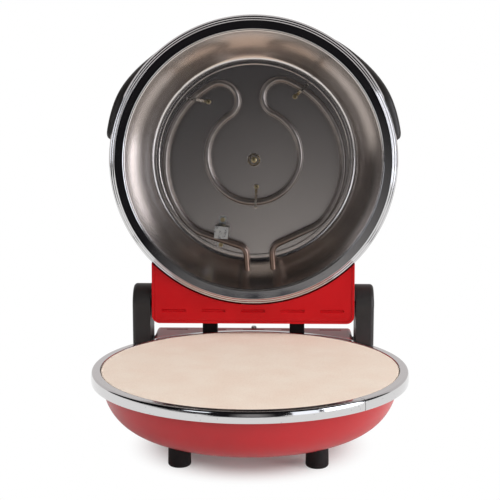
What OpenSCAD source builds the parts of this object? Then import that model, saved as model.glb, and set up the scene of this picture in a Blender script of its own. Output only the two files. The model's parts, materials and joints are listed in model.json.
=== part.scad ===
// Countertop pizza maker: a stone-floored base and a domed lid on a rear hinge.
// The lid is drawn closed and then swung open about the hinge, as the part rests.
// Depths are measured from each ring's rim plane: down in the base, up in the lid.

/* [Stance] */
// Height of the base ring's top face above the floor
ring_top = 82; // [78:0.5:90]
// Angle that the open lid stands at
lid_open = 93.3; // [90:0.1:96]
// Gap between the two rings when the lid is shut
lid_gap = 0.4; // [0.3:0.1:1]

/* [Rings] */
// Outer radius of both chrome rings
ring_r = 162.5; // [161:0.25:168]
// Height of each ring's outer band
band_h = 11; // [10.5:0.25:13]
// Sheet thickness of the rings
ring_t = 1.2; // [1:0.1:1.5]
// Radius of the edge between the base ring's top and its band
ring_edge = 2.5; // [2:0.25:4]
// Inner radius of the lid ring's flat face
lid_face_in = 145.3; // [144.9:0.1:146]
// Outer radius of the lid ring's flat face
lid_face_out = 154.5; // [153:0.25:157]
// Depth of the lid ring's rounded shoulder
lid_shoulder = 4; // [3:0.25:6]
// Width of the seam where the base ring's ends meet
seam_w = 0.6; // [0.4:0.1:1]
// Angle of that seam round the base
seam_angle = -47; // [-60:0.5:-20]

/* [Shells] */
// Sheet thickness of the red bowl and dome
shell_t = 1.5; // [1.2:0.1:2]
// Radius of the bowl where it leaves the ring
bowl_rim = 151; // [149:0.25:153]
// Radius of the bowl's flat floor
bowl_floor = 104; // [100:1:106]
// Height of the feet, which is the bowl's height above the floor
foot_h = 22; // [18:0.5:25]
// Radius of the dome where it leaves the ring
dome_rim = 151; // [149:0.25:152]
// Radius of the dome's flat top
dome_top_r = 100; // [96:1:104]
// Height of the dome above its rim plane
dome_h = 73; // [71:0.5:78]

/* [Stone and liner] */
// Radius of the baking stone
stone_r = 152.2; // [151.5:0.1:152.4]
// Thickness of the baking stone
stone_t = 12; // [10.5:0.25:14]
// Depth of the stone's face below the ring
stone_drop = 0.3; // [0.2:0.1:1]
// Width of the rebate round the stone's underside
stone_rebate = 6.7; // [5.8:0.1:9]
// Sheet thickness of the liner and the reflector pan
liner_t = 0.8; // [0.6:0.1:1]
// Depth of the liner's floor
liner_h = 44; // [42:0.5:46]
// Radius of the liner's flat floor
liner_floor = 100; // [98:0.5:104]

/* [Reflector pan] */
// Radius of the pan at its mouth
pan_mouth = 144; // [143.5:0.1:144.3]
// Depth of the pan's flat disc
pan_h = 49.8; // [48.5:0.1:51]
// Radius at the foot of the pan's wall
pan_floor = 117; // [116:0.25:118]
// Radius of the corner between the pan's wall and floor
pan_corner = 17; // [15:0.25:18]
// Outer radius of the pan's flat disc
pan_disc = 109.2; // [108:0.1:110]
// Width of the step round the disc
pan_step_w = 3.6; // [3:0.1:5]
// Height of the step round the disc
pan_step_h = 0.8; // [0.5:0.1:1.2]
// Depth of the bead at the pan's mouth
bead_depth = 3; // [2.5:0.1:3.5]

/* [Upper element] */
// Diameter of the upper heater's tube
tube_d = 7; // [6:0.25:8]
// Depth of the tube's centre line
tube_depth = 41; // [40:0.25:42.5]
// Radius of the inner loop
inner_r = 53.5; // [50:0.5:56]
// Distance of the inner loop's centre from the lid's centre
inner_shift = 4.7; // [3:0.1:6]
// Radius of the two small loops
small_r = 20.3; // [19:0.1:21]
// Angle of the small loops either side of the front
small_angle = 28; // [26:0.5:29]
// Radius of the outer arcs
outer_r = 102.5; // [101:0.25:103]
// Angle below the side where the outer arcs end
outer_end = 40; // [38:0.5:42]
// Radius of the knees that follow the outer arcs
knee_r = 40; // [36:0.5:44]
// Angle of the straight runs to the legs
run_angle = 21.5; // [20:0.5:24]
// Radius of the bends at the legs
leg_bend = 12; // [11:0.5:14]
// Distance of each leg from the middle
leg_x = 15; // [13.5:0.25:16]
// Distance of the legs' ends behind the lid's centre
leg_end = 149; // [148:0.25:149.5]
// Angle that the whole element is turned in the pan
element_turn = 3.5; // [2:0.25:4]

/* [Clips and sensor] */
// Width of the element clips
clip_w = 3; // [2.5:0.25:4]
// Thickness of the clip strip
clip_t = 0.6; // [0.5:0.05:0.8]
// Radius of the small screw heads in the pan
small_head_r = 2.8; // [2.6:0.1:3]
// Radius of the small screws' shanks
small_shank_r = 1.4; // [1.2:0.05:1.6]
// Width of the sensor's cover plate
plate_w = 16; // [14:0.5:18]
// Width of the cover plate's two tabs
tab_w = 8; // [7:0.5:9]
// Radius of the cup washer at the pan's centre
cup_r = 8; // [7:0.25:9]

/* [Lower element] */
// Diameter of the lower heater's tube
low_tube_d = 6.5; // [6:0.25:7]
// Depth of the lower heater's centre line
low_depth = 30; // [28:0.5:32]
// Radius of the lower heater's loop
low_r = 92; // [88:0.5:95]
// Radius of the bends at the lower heater's legs
low_bend = 15; // [12:0.5:18]

/* [Feet] */
// Diameter of the feet
foot_d = 22.8; // [20:0.2:24]
// Distance of the front feet from the middle
front_foot_x = 67.5; // [64:0.5:70]
// Distance of the front feet ahead of the centre
front_foot_y = 71; // [68:0.5:72]
// Distance of the rear feet from the middle
rear_foot_x = 85; // [78:0.5:90]
// Distance of the rear feet behind the centre
rear_foot_y = 182; // [178:0.5:184]

/* [Hinge] */
// Distance of the hinge behind the centre
hinge_y = 164.2; // [163.5:0.1:165]
// Height of the hinge above the base ring's top
hinge_up = 31; // [30.5:0.1:32]
// Radius of the hinge pins
pin_r = 4; // [3.5:0.1:4.5]
// Radial clearance of the pins in the arms and the casing
pin_fit = 0.05; // [0.03:0.01:0.1]
// Half the distance between the arms' inner faces
arm_in = 117; // [116.5:0.1:118]
// Thickness of the arms
arm_t = 20.5; // [18:0.5:22]
// Radius of the arms' tops
arm_r = 22.7; // [20:0.1:24]
// Radius of the arms' outer edges
arm_edge = 4; // [2:0.25:5]
// Height of the arms' lower ends above the floor
arm_foot = 32; // [30:0.5:36]
// Radius of the round caps on the arms
cap_r = 9.5; // [8:0.25:11]
// Height that the caps stand out of the arms
cap_proud = 0.8; // [0.5:0.1:1.5]

/* [Housings] */
// Half the width of both housings
house_x = 115; // [114:0.25:116]
// Wall thickness of the housings
house_t = 2.5; // [2.2:0.1:3]
// Radius of the housings' rear corners, seen from above
house_corner = 9; // [8:0.25:10]
// Radius of the housings' upper edges
house_edge = 6; // [4:0.25:7]
// Distance of the upper housing's rear wall behind the centre
upper_rear = 184.3; // [184:0.1:184.5]
// Depth of the upper housing's lower rim
upper_rim = 7.6; // [7.4:0.1:7.8]
// Depth of the upper housing's roof
upper_roof = 54; // [53:0.25:56]
// Step from the upper housing's rim to its panel
panel_step = 0.8; // [0.6:0.1:1.2]
// Thickness of the louvred panel
panel_t = 1.5; // [1.2:0.1:2]
// Depth of the lower housing's roof below the ring's top
lower_roof = 5.8; // [5.5:0.1:6.2]
// Distance of the lower housing's rear wall behind the centre
lower_rear = 202; // [201:0.25:204]
// Thickness of the lower housing's bottom plate
plate_t = 2; // [1.5:0.1:2.5]
// Length of a louvre
louvre_l = 30; // [24:0.5:34]
// Radius of a louvre's pressed trough
louvre_r = 1.6; // [1.3:0.1:1.8]
// Distance from one louvre to the next
louvre_pitch = 45; // [40:0.5:46]
// Number of louvres in a row
louvres = 5; // [3:1:5]
// Distance of each row of louvres from its housing's rear wall
louvre_in = 14.5; // [13:0.25:16]

/* [Buffers] */
// Distance of the rear buffers from the middle
buffer_x = 50.5; // [48:0.5:53]
// Width and height of a buffer
buffer_w = 17; // [15:0.5:18]
// Distance of a buffer's upper side below the upper housing's roof
buffer_drop = 1.4; // [1:0.1:2]
// Gap between the buffers and the lower housing when the lid is open
stop_gap = 0.3; // [0.2:0.05:0.4]

/* [Handle] */
// Outer half width of the handle
handle_a = 168; // [166:0.25:171]
// Reach of the handle ahead of the centre
handle_b = 160; // [158:0.25:161]
// Squareness of the handle's plan, where 2 is an ellipse
handle_n = 2.25; // [2:0.05:2.4]
// Width of the handle's section
handle_w = 19; // [18:0.25:20]
// Height of the handle's section
handle_v = 18; // [16:0.25:20]
// Depth of the handle's ends above the rim plane
handle_low = 22; // [21.5:0.25:24]
// Depth of the handle's grip above the rim plane
handle_high = 83; // [80:0.5:88]
// Angle from the front at which the handle ends
handle_end = 83; // [80:0.5:83.5]
// Angle over which the handle's ends are rounded off
handle_round = 4.5; // [3:0.5:7]

/* [Control] */
// Distance of the knob from the middle
knob_x = 82; // [80:0.25:84]
// Distance of the knob behind the centre
knob_y = 165; // [164:0.25:165.5]
// Radius of the knob
knob_r = 17; // [15:0.25:18]
// Height of the knob
knob_h = 16; // [14:0.25:18]
// Radius of the thermostat's shaft
shaft_r = 3; // [2.5:0.1:3.5]
// Distance between the two lamps
lamp_pitch = 20; // [16:0.5:24]
// Radius of a lamp's lens
lamp_r = 4.5; // [4:0.1:5]
// Distance of the cord gland from the middle
gland_x = 60; // [50:0.5:64]
// Height of the cord gland above the floor
gland_z = 46; // [42:0.5:50]
// Radius of the hole for the cord
cord_r = 3.6; // [3.2:0.1:4]

/* [Fasteners] */
// Length of the screws from the lower housing into the arms
arm_screw_l = 15; // [12:0.5:15]
// Length of the screws through the lower housing's bottom plate
plate_screw_l = 14; // [10:0.5:15]
// Length of the screw in the lower housing's roof
cover_screw_l = 9; // [6:0.5:12]
// Length of the screws from the upper housing into the buffers
buffer_screw_l = 11; // [8:0.5:12]
// Length of the screws from the dome into the handle
handle_screw_l = 11.4; // [9:0.2:13]
// Length of the small screws in the pan and the liner
small_screw_l = 5; // [4:0.5:6]

/* [Clearances] */
// Gap between pieces that sit against each other
seat = 0.1; // [0.05:0.01:0.2]
// Gap between a housing and the shells it is cut to
house_gap = 0.3; // [0.2:0.05:0.5]
// Gap between a screw's shank and its clearance hole
hole_gap = 0.2; // [0.1:0.05:0.3]

/* [Hidden] */

$fn = 96;
far = 400;
red = "firebrick";
black = "dimgray";

hinge_z = ring_top + hinge_up;
lid_z = ring_top + lid_gap;
bowl_h = ring_top - foot_h;
trim_in = ring_r - ring_t - house_gap;
flange_top = band_h - shell_t;
seam_open = seam_w / ring_r * 180 / PI;
stone_gap = 0.4;
lip_r = stone_r + stone_gap;
stone_under = stone_r - stone_rebate;
liner_flange = flange_top - seat;
stone_shelf = liner_flange - liner_t - seat;
liner_rim = stone_under + liner_t + 1.2;
liner_top = liner_h - liner_t;
pan_lean = 14;
pan_waist = 136.4;
pan_waist_h = 25;
leg_hole = tube_d / 2 + 1;
low_leg_hole = low_tube_d / 2 + 1;
low_leg_end = 156;
ferrule_rim = 1.5;
screw_r = 1.9;
head_r = 3.5;
head_h = 2.2;
pilot = 0.05;
slope_gap = 0.8;
window_x = 60;
window_foot = 12;
window_head = 6;
window_crown = 23;
lower_top = ring_top - lower_roof;
lower_front = 100;
upper_front = 60;
panel_depth = upper_rim + panel_step;
louvre_y_upper = upper_rear - louvre_in;
louvre_y_lower = lower_rear - louvre_in;
buffer_top = upper_roof - buffer_drop;
buffer_mid = buffer_top - buffer_w / 2;
boss_r = 8;
pin_head = 2;
boss_in = 103;
knob_gap = 0.4;
knob_bore = 10;
thermostat_w = 24;
thermostat_t = 16;
lamp_x = knob_x - lamp_pitch / 2;
cap_sunk = 2.5;
gland_wall = 3;
gland_flange = 6;
gland_tail = 6;
block_size = [48, 14, 12];
block_ways = 4;
block_bore = 2.4;
lower_block = [-24, 172];
upper_block = [-14, 157];
foot_edge = 3;
foot_recess = 5;
foot_recess_h = 14;
foot_shank = 2;
nut_r = 4;
nut_h = 3.2;
slot_w = 0.7;
slot_depth = 0.8;
bracket_w = 6;
bracket_t = 1.2;
tube_gap = 0.35;
base_felt_r = 84;
lid_felt_r = 95;
felt_hole = 16;
felt_pocket = 4;
cutout_r = 8;
cutout_h = 9;
cutout_flange = 4;
post_r = 6;
tail_h = 8;
lens_rim = 1.2;
lens_h = 2;
flutes = 18;
flute_r = 1.5;
skirt_h = 3.2;

// A point on a circle in plan
function polar(r, a) = [r * cos(a), r * sin(a)];
function unit(v) = v / norm(v);
function right_of(v) = [unit(v).y, -unit(v).x];

// Sheet of thickness t on the right of a path, mitred at its corners (left if t is negative)
function mitre(p, i) =
    let (a = right_of(i == 0 ? p[1] - p[0] : p[i] - p[i - 1]))
    let (b = i == len(p) - 1 ? a : right_of(p[i + 1] - p[i]))
    (a + b) / (1 + a * b);
function skin(p, t) =
    concat(p, [for (i = [len(p) - 1:-1:0]) p[i] + t * (len(p) == 2 ? right_of(p[1] - p[0]) : mitre(p, i))]);

// Quarter of an ellipse from the flat (r0, h1) out to the wall (r1, h0)
function quarter(r0, r1, h0, h1, n = 20) =
    [for (i = [0:n]) [r0 + (r1 - r0) * sin(90 * i / n), h0 + (h1 - h0) * cos(90 * i / n)]];
function arc(c, r, a0, a1, n = 8) = [for (i = [0:n]) c + polar(r, a0 + (a1 - a0) * i / n)];
function bezier(a, b, c, n = 8) =
    [for (i = [1:n]) let (u = i / n) (1 - u) * (1 - u) * a + 2 * u * (1 - u) * b + u * u * c];

// Shell outlines as radius and depth
bowl_path = concat([[0, bowl_h]], quarter(bowl_floor, bowl_rim, band_h, bowl_h), [[trim_in, band_h]]);
dome_path = concat([[0, dome_h]], quarter(dome_top_r, dome_rim, band_h, dome_h), [[trim_in, band_h]]);
liner_path = concat([[0, liner_h]], quarter(liner_floor, liner_rim, liner_flange, liner_h),
    [[trim_in - stone_gap, liner_flange]]);
base_ring_path = concat([[lip_r, stone_shelf], [lip_r, ring_t], [lip_r + ring_t, 0]],
    arc([ring_r - ring_edge, ring_edge], ring_edge, -90, 0), [[ring_r, band_h]]);
lid_ring_path = concat([[lid_face_in, bead_depth - seat], [lid_face_in, ring_t], [lid_face_in + ring_t, 0],
    [lid_face_out - 0.2, 0]],
    [for (i = [0:8]) [lid_face_out + (ring_r - lid_face_out) * sin(11.25 * i),
        0.5 + lid_shoulder * (1 - cos(11.25 * i))]], [[ring_r, band_h]]);
pan_arc_c = [pan_floor, pan_h + 0.4 - pan_corner];
pan_arc_end = pan_arc_c + polar(pan_corner, pan_lean);
pan_path = concat([[0, pan_h], [pan_disc, pan_h], [pan_disc + 0.6, pan_h - pan_step_h],
    [pan_disc + pan_step_w, pan_h - pan_step_h], [pan_disc + pan_step_w + 0.6, pan_h + 0.4]],
    arc(pan_arc_c, pan_corner, 90, pan_lean, 10),
    bezier(pan_arc_end, [pan_waist, pan_waist_h], [pan_mouth, bead_depth + 0.4]),
    [[pan_mouth + 0.8, bead_depth], [pan_mouth + 6, bead_depth],
     [pan_mouth + 7.5, liner_flange - liner_t], [trim_in - stone_gap, liner_flange - liner_t]]);

// A way is a list of [x, y, heading] along a tube's middle
function arc_way(c, r, a0, a1, n) = [for (i = [0:n]) let (a = a0 + (a1 - a0) * i / n)
    [c.x + r * cos(a), c.y + r * sin(a), a + (a1 > a0 ? 90 : -90)]];
function both_halves(way) =
    concat(way, [for (i = [len(way) - 2:-1:0]) [-way[i].x, way[i].y, -way[i].z]]);
function tube_rings(way, d, sides) = [for (w = way) [for (i = [0:sides - 1])
    let (a = 360 * (i + 0.5) / sides, out = polar(d / 2 * cos(a), w.z - 90))
    [w.x + out.x, w.y + out.y, d / 2 * sin(a)]]];

// Upper element, in plan with the lid's front at +Y
small_c = [0, inner_shift] + polar(inner_r + small_r, 90 - small_angle);
outer_c = [0, small_c.y - sqrt(pow(outer_r - small_r, 2) - pow(small_c.x, 2))];
small_end = atan2(small_c.y - outer_c.y, small_c.x);
knee_c = outer_c + polar(outer_r - knee_r, -outer_end);
run_from = knee_c + polar(knee_r, run_angle - 90);
run_len = (run_from.x + leg_bend * sin(run_angle) - leg_x - leg_bend) / cos(run_angle);
run_to = run_from - run_len * polar(1, run_angle);
bend_c = [leg_x + leg_bend, run_to.y - leg_bend * cos(run_angle)];
upper_way = both_halves(concat([[leg_x, -leg_end, 90]],
    arc_way(bend_c, leg_bend, 180, 90 + run_angle, 7),
    arc_way(knee_c, knee_r, run_angle - 90, -outer_end, 4),
    [for (w = arc_way(outer_c, outer_r, -outer_end, small_end, 18)) if (w.z > 90.1 - outer_end) w],
    [for (w = arc_way(small_c, small_r, small_end, 270 - small_angle, 18)) if (w.z > small_end + 90.1) w],
    [for (w = arc_way([0, inner_shift], inner_r, 90 - small_angle, -90, 20))
        if (w.z < -small_angle - 0.1) w]));

// Lower element, in plan
low_leg_x = 15;
low_bend_c = [low_leg_x + low_bend, sqrt(pow(low_r + low_bend, 2) - pow(low_leg_x + low_bend, 2))];
low_open = atan2(low_bend_c.y, low_bend_c.x);
lower_way = both_halves(concat([[low_leg_x, low_leg_end, -90]],
    arc_way(low_bend_c, low_bend, 180, 180 + low_open, 7),
    [for (w = arc_way([0, 0], low_r, low_open, -90, 20)) if (w.z < low_open - 90.1) w]));

// Where the clips' screws sit, and where their far ends reach, front at +Y
clip_from = [[-52.5, 66.6], [46.9, 72.6], [3, -31]];
clip_to = [[-76.2, 70.4], [61.4, 86.2], [2, -54.8]];
clip_reach = tube_d / 2 + 1.2;
tube_roof = tube_depth - tube_d / 2 - seat;

// Sensor strap, along its own length from the middle of its plate
strap_mid = [-37.2, -83.5];
strap_turn = 4.5;
strap_tabs = [14.2, -15];
strap_t = 0.7;
strap_foot = [[18.5, pan_h - seat], [-17.2, pan_h - seat]];
strap_path = [[9.4, pan_h - seat], [6.8, tube_roof - 1.4], [-6.8, tube_roof - 0.9]];
button_foot = pan_h - strap_t - 2 * seat;

// Handle: a squarish ellipse in plan that climbs from the dome's sides to the grip
handle_steps = 44;
handle_sides = 16;
climb_from = 68;
climb_to = 40;
function smooth(u) = let (v = min(max(u, 0), 1)) v * v * (3 - 2 * v);
function bulged(u) = sign(u) * pow(abs(u), 2 / handle_n);
function handle_at(t) = [(handle_a - handle_w / 2) * bulged(sin(t)),
    -(handle_b - handle_w / 2) * bulged(cos(t)),
    handle_low + (handle_high - handle_low) * smooth((climb_from - abs(t)) / (climb_from - climb_to))];
function handle_ring(t) =
    let (along = unit(handle_at(t + 0.5) - handle_at(t - 0.5)))
    let (out = unit([along.y, -along.x, 0]))
    let (up = cross(out, along))
    let (full = sqrt(1 - pow(0.9 * max(0, abs(t) - handle_end + handle_round) / handle_round, 2)))
    [for (i = [0:handle_sides - 1]) let (a = 360 * (i + 0.5) / handle_sides)
        handle_at(t) + full * (out * handle_w / 2 * sign(cos(a)) * pow(abs(cos(a)), 0.6)
            + up * handle_v / 2 * sign(sin(a)) * pow(abs(sin(a)), 0.6))];
handle_rings = [for (k = [0:handle_steps]) handle_ring(handle_end * (2 * k / handle_steps - 1))];
handle_screw_angles = [13, 25];
handle_boss_r = 6;
handle_boss_foot = 2;
handle_boss_in = 1.7;

// How far the open lid's handle reaches behind the hinge sets where the frame's centre lies
handle_back = max([for (r = handle_rings, p = r)
    (p.y - hinge_y) * cos(lid_open) + (p.z + lid_z - hinge_z) * sin(lid_open)]);
centre_y = (hinge_y + handle_back - ring_r) / 2;

// The buffers are as long as the open lid leaves room for above the lower housing
buffer_end = hinge_y
    + (hinge_z + (lid_z + buffer_top - hinge_z) * cos(lid_open) - lower_top - stop_gap) / sin(lid_open);

// Closed skin over rings of points, each ring turning from the right of the way up over it
module swept(rings) {
    n = len(rings[0]);
    last = len(rings) - 1;
    polyhedron([for (r = rings) each r], concat([[for (i = [n - 1:-1:0]) i]],
        [for (k = [0:last - 1], i = [0:n - 1]) let (j = (i + 1) % n, a = k * n, b = a + n)
            each [[a + i, b + j, b + i], [a + i, a + j, b + j]]],
        [[for (i = [0:n - 1]) last * n + i]]));
}

module in_base() translate([0, -centre_y, 0]) children();
module swung() translate([0, hinge_y, hinge_z]) rotate([-lid_open, 0, 0])
    translate([0, -hinge_y, -hinge_z]) children();
module in_lid() in_base() swung() children();
module below_rim() translate([0, 0, ring_top]) mirror([0, 0, 1]) children();
module above_rim() translate([0, 0, lid_z]) children();
module sides() for (s = [-1, 1]) scale_x(s) children();
module scale_x(s) if (s > 0) children(); else mirror([1, 0, 0]) children();

// Everything inside a shell and its ring, grown by a clearance
module shell_envelope(path, gap) rotate_extrude()
    polygon(concat([[0, -far]], [[ring_r + gap, -far], [ring_r + gap, band_h + gap]],
        [for (i = [len(path) - 2:-1:1]) path[i] + gap * unit(path[i] - [0, band_h] + [0, 0.001])],
        [[0, path[0].y + gap]]));

// A box with its rear corners and its far edges rounded, open towards the front
module cased_block(x, y0, y1, z0, z1, corner, edge) intersection() {
    translate([0, 0, z0]) linear_extrude(z1 - z0) union() {
        translate([-x, y0]) square([2 * x, y1 - corner - y0]);
        translate([-x + corner, y0]) square([2 * (x - corner), y1 - y0]);
        for (s = [-1, 1]) translate([s * (x - corner), y1 - corner]) circle(corner);
    }
    rotate([90, 0, 90]) linear_extrude(2 * x + 2, center = true) union() {
        translate([y0, z0]) square([y1 - edge - y0, z1 - z0]);
        translate([y0, z0]) square([y1 - y0, z1 - edge - z0]);
        translate([y1 - edge, z1 - edge]) circle(edge);
    }
    rotate([90, 0, 0]) linear_extrude(far * 2, center = true) union() {
        translate([-x, z0]) square([2 * x, z1 - edge - z0]);
        translate([-x + edge, z0]) square([2 * (x - edge), z1 - z0]);
        for (s = [-1, 1]) translate([s * (x - edge), z1 - edge]) circle(edge);
    }
}

// A flat plate with rounded rear corners
module corner_plate(x, y0, y1, corner, t) linear_extrude(t) union() {
    translate([-x, y0]) square([2 * x, y1 - corner - y0]);
    translate([-x + corner, y0]) square([2 * (x - corner), y1 - y0]);
    for (s = [-1, 1]) translate([s * (x - corner), y1 - corner]) circle(corner);
}

module louvre_row(y) for (i = [0:louvres - 1])
    translate([(i - (louvres - 1) / 2) * louvre_pitch - louvre_l / 2, y, 0]) children();

// The pressed hood of a louvre on a sheet whose outer face is z = 0 and which lies above it
module louvre_hood(t) intersection() {
    rotate([0, 90, 0]) cylinder(r = louvre_r + t, h = louvre_l, $fn = 32);
    translate([-1, -far, 0]) cube([louvre_l + 2, 2 * far, far]);
}
module louvre_cut(t) {
    translate([t, 0, 0]) rotate([0, 90, 0]) cylinder(r = louvre_r, h = louvre_l - 2 * t, $fn = 32);
    translate([t, -louvre_r - t - 1, t + 0.1]) cube([louvre_l - 2 * t, louvre_r + t + 0.4, louvre_r + 1]);
}

// A round-headed screw whose head sits at z = 0 and whose shank points up
module screw(shank_r, length, top_r, top_h) {
    cylinder(r = shank_r, h = length, $fn = 32);
    rotate([180, 0, 0]) difference() {
        cylinder(r1 = top_r, r2 = top_r * 0.8, h = top_h, $fn = 32);
        for (a = [0, 90]) rotate([0, 0, a]) translate([-top_r * 0.6, -slot_w / 2, top_h - slot_depth])
            cube([top_r * 1.2, slot_w, 1]);
    }
}

// Moves a screw drawn along Z to a spot on a wall, pointing outwards
module outwards(angle, r, h) rotate([0, 0, angle]) translate([r, 0, h]) rotate([0, 90, 0]) children();

// Base shells

module base_bowl() color(red) in_base() difference() {
    below_rim() rotate_extrude() polygon(skin(bowl_path, shell_t));
    foot_places(true) translate([0, 0, foot_h - 1])
        cylinder(r = foot_shank + hole_gap, h = shell_t + 2, $fn = 32);
    translate([-window_x, lower_front, foot_h + window_foot])
        cube([2 * window_x, far, bowl_h - band_h - window_foot - window_head]);
}

module base_ring() color("lightgray") in_base() below_rim() rotate([0, 0, seam_angle + seam_open / 2])
    rotate_extrude(angle = 360 - seam_open) polygon(skin(base_ring_path, -ring_t));

module base_liner() color("silver") in_base() difference() {
    below_rim() rotate_extrude() polygon(skin(liner_path, liner_t));
    low_legs() cylinder(r = low_leg_hole, h = 60, $fn = 32);
    low_clip_places() translate([0, 0, liner_h - 3]) cylinder(r = small_shank_r + hole_gap, h = 6, $fn = 32);
}

module baking_stone() color("bisque") in_base() below_rim() rotate_extrude()
    polygon([[0, stone_drop], [stone_r - 0.8, stone_drop], [stone_r, stone_drop + 0.8],
        [stone_r, stone_shelf], [stone_under, stone_shelf], [stone_under, stone_drop + stone_t - 1],
        [stone_under - 1, stone_drop + stone_t], [0, stone_drop + stone_t]]);

// Lower heater

module low_legs() for (s = [-1, 1])
    translate([s * low_leg_x, low_bend_c.y, ring_top - low_depth]) rotate([-90, 0, 0]) children();

module lower_element() color("gray") in_base() translate([0, 0, ring_top - low_depth])
    swept(tube_rings(lower_way, low_tube_d, 12));

// Three brackets hold the loop, one at the front and one at each side
low_clip_angles = [-90, 30, 150];
low_clip_in = low_r - 14;
bracket_top = low_depth + low_tube_d / 2 + tube_gap + bracket_t / 2;
module low_clip_places() below_rim() for (a = low_clip_angles) rotate([0, 0, a])
    translate([low_clip_in, 0, 0]) children();

module lower_element_clips() color("silver") in_base() below_rim() for (a = low_clip_angles)
    rotate([0, 0, a]) difference() {
        union() {
            rotate([0, 0, -2]) rotate_extrude(angle = 4) translate([low_r, low_depth])
                circle(r = low_tube_d / 2 + tube_gap + bracket_t, $fn = 32);
            translate([low_r - bracket_t / 2, -bracket_w / 2, bracket_top])
                cube([bracket_t, bracket_w, liner_top - seat - bracket_top]);
            translate([low_clip_in - 5, -bracket_w / 2, liner_top - bracket_t - seat])
                cube([low_r - low_clip_in + 5, bracket_w, bracket_t]);
        }
        rotate([0, 0, -5]) rotate_extrude(angle = 10) translate([low_r, low_depth])
            circle(r = low_tube_d / 2 + tube_gap, $fn = 32);
        translate([low_clip_in, 0, liner_h - 5]) cylinder(r = small_shank_r + hole_gap, h = 10, $fn = 32);
    }

module lower_clip_screws() color("darkgray") in_base() low_clip_places()
    translate([0, 0, liner_top - bracket_t - 2 * seat]) screw(small_shank_r, small_screw_l, small_head_r, 1.6);

module lower_element_ferrules() color("silver") in_base() for (s = [-1, 1])
    translate([s * low_leg_x, ferrule_y, ring_top - low_depth]) rotate([-90, 0, 0])
    difference() {
        union() {
            cylinder(r = low_leg_hole + ferrule_rim, h = 1, $fn = 32);
            translate([0, 0, -ferrule_l]) cylinder(r = low_leg_hole - seat, h = ferrule_l + 1, $fn = 32);
        }
        translate([0, 0, -ferrule_l - 1]) cylinder(r = low_tube_d / 2 + seat, h = ferrule_l + 3, $fn = 32);
    }

// The liner's wall slopes where the legs pass, so the ferrules' flanges clear its highest point
function ellipse_r(r0, r1, h0, h1, h) = r0 + (r1 - r0) * sqrt(1 - pow((h - h0) / (h1 - h0), 2));
function liner_wall_y(h, x) =
    sqrt(pow(ellipse_r(liner_floor, liner_rim, liner_flange, liner_h, h), 2) - pow(x, 2));
ferrule_y = liner_wall_y(low_depth - low_leg_hole - ferrule_rim, low_leg_x - low_leg_hole - ferrule_rim)
    + liner_t + 0.5;
ferrule_l = ferrule_y - liner_wall_y(low_depth + low_leg_hole, low_leg_x) + 1.5;

module base_insulation() color("beige") in_base() below_rim() translate([0, 0, liner_h + seat])
    difference() {
        cylinder(r = base_felt_r, h = bowl_h - shell_t - liner_h - 2 * seat);
        translate([0, 0, -1]) cylinder(r = felt_hole, h = far);
        for (a = low_clip_angles) rotate([0, 0, a]) translate([low_clip_in, 0, -1])
            cylinder(r = felt_pocket, h = far, $fn = 32);
    }

module thermal_cutout() color("ivory") in_base() below_rim() translate([0, 0, liner_h + seat]) {
    cylinder(r = cutout_r + cutout_flange, h = 1, $fn = 48);
    cylinder(r = cutout_r, h = cutout_h, $fn = 48);
    for (s = [-1, 1]) translate([s * cutout_r / 2 - 0.4, -3, cutout_h - 1]) cube([0.8, 6, 4.5]);
}

// Feet

module foot_places(front) for (s = [-1, 1])
    if (front) translate([s * front_foot_x, -front_foot_y, 0]) children();
    else translate([s * rear_foot_x, rear_foot_y, 0]) children();

module foot() rotate_extrude() polygon(concat([[foot_recess, 0], [foot_d / 2 - foot_edge, 0]],
    arc([foot_d / 2 - foot_edge, foot_edge], foot_edge, -90, 0), [[foot_d / 2 - 0.4, foot_h - seat / 2],
    [foot_shank + hole_gap, foot_h - seat / 2], [foot_shank + hole_gap, foot_recess_h],
    [foot_recess, foot_recess_h]]));

module front_feet() color(black) in_base() foot_places(true) foot();
module rear_feet() color(black) in_base() foot_places(false) foot();

module both_feet() {
    foot_places(true) children();
    foot_places(false) children();
}
module foot_screws() color("darkgray") in_base() both_feet()
    translate([0, 0, foot_recess_h - seat])
        screw(foot_shank, foot_h - foot_recess_h + plate_t + nut_h + 1.5, nut_r, 2.4);
module foot_nuts() color("darkgray") in_base() {
    foot_places(true) translate([0, 0, foot_h + shell_t + seat]) foot_nut();
    foot_places(false) translate([0, 0, foot_h + plate_t + seat]) foot_nut();
}
module foot_nut() difference() {
    cylinder(r = nut_r, h = nut_h, $fn = 6);
    translate([0, 0, -1]) cylinder(r = foot_shank + pilot, h = nut_h + 2, $fn = 32);
}

// Lower housing

cover_screw_in = 6;
plate_screw_x = house_x - 12;
plate_screw_y = [lower_rear - 14, 135];
module plate_screw_places() for (s = [-1, 1], y = plate_screw_y)
    translate([s * plate_screw_x, y, 0]) children();

module lower_envelope(gap) translate([0, 0, ring_top]) mirror([0, 0, 1]) shell_envelope(bowl_path, gap);

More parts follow.
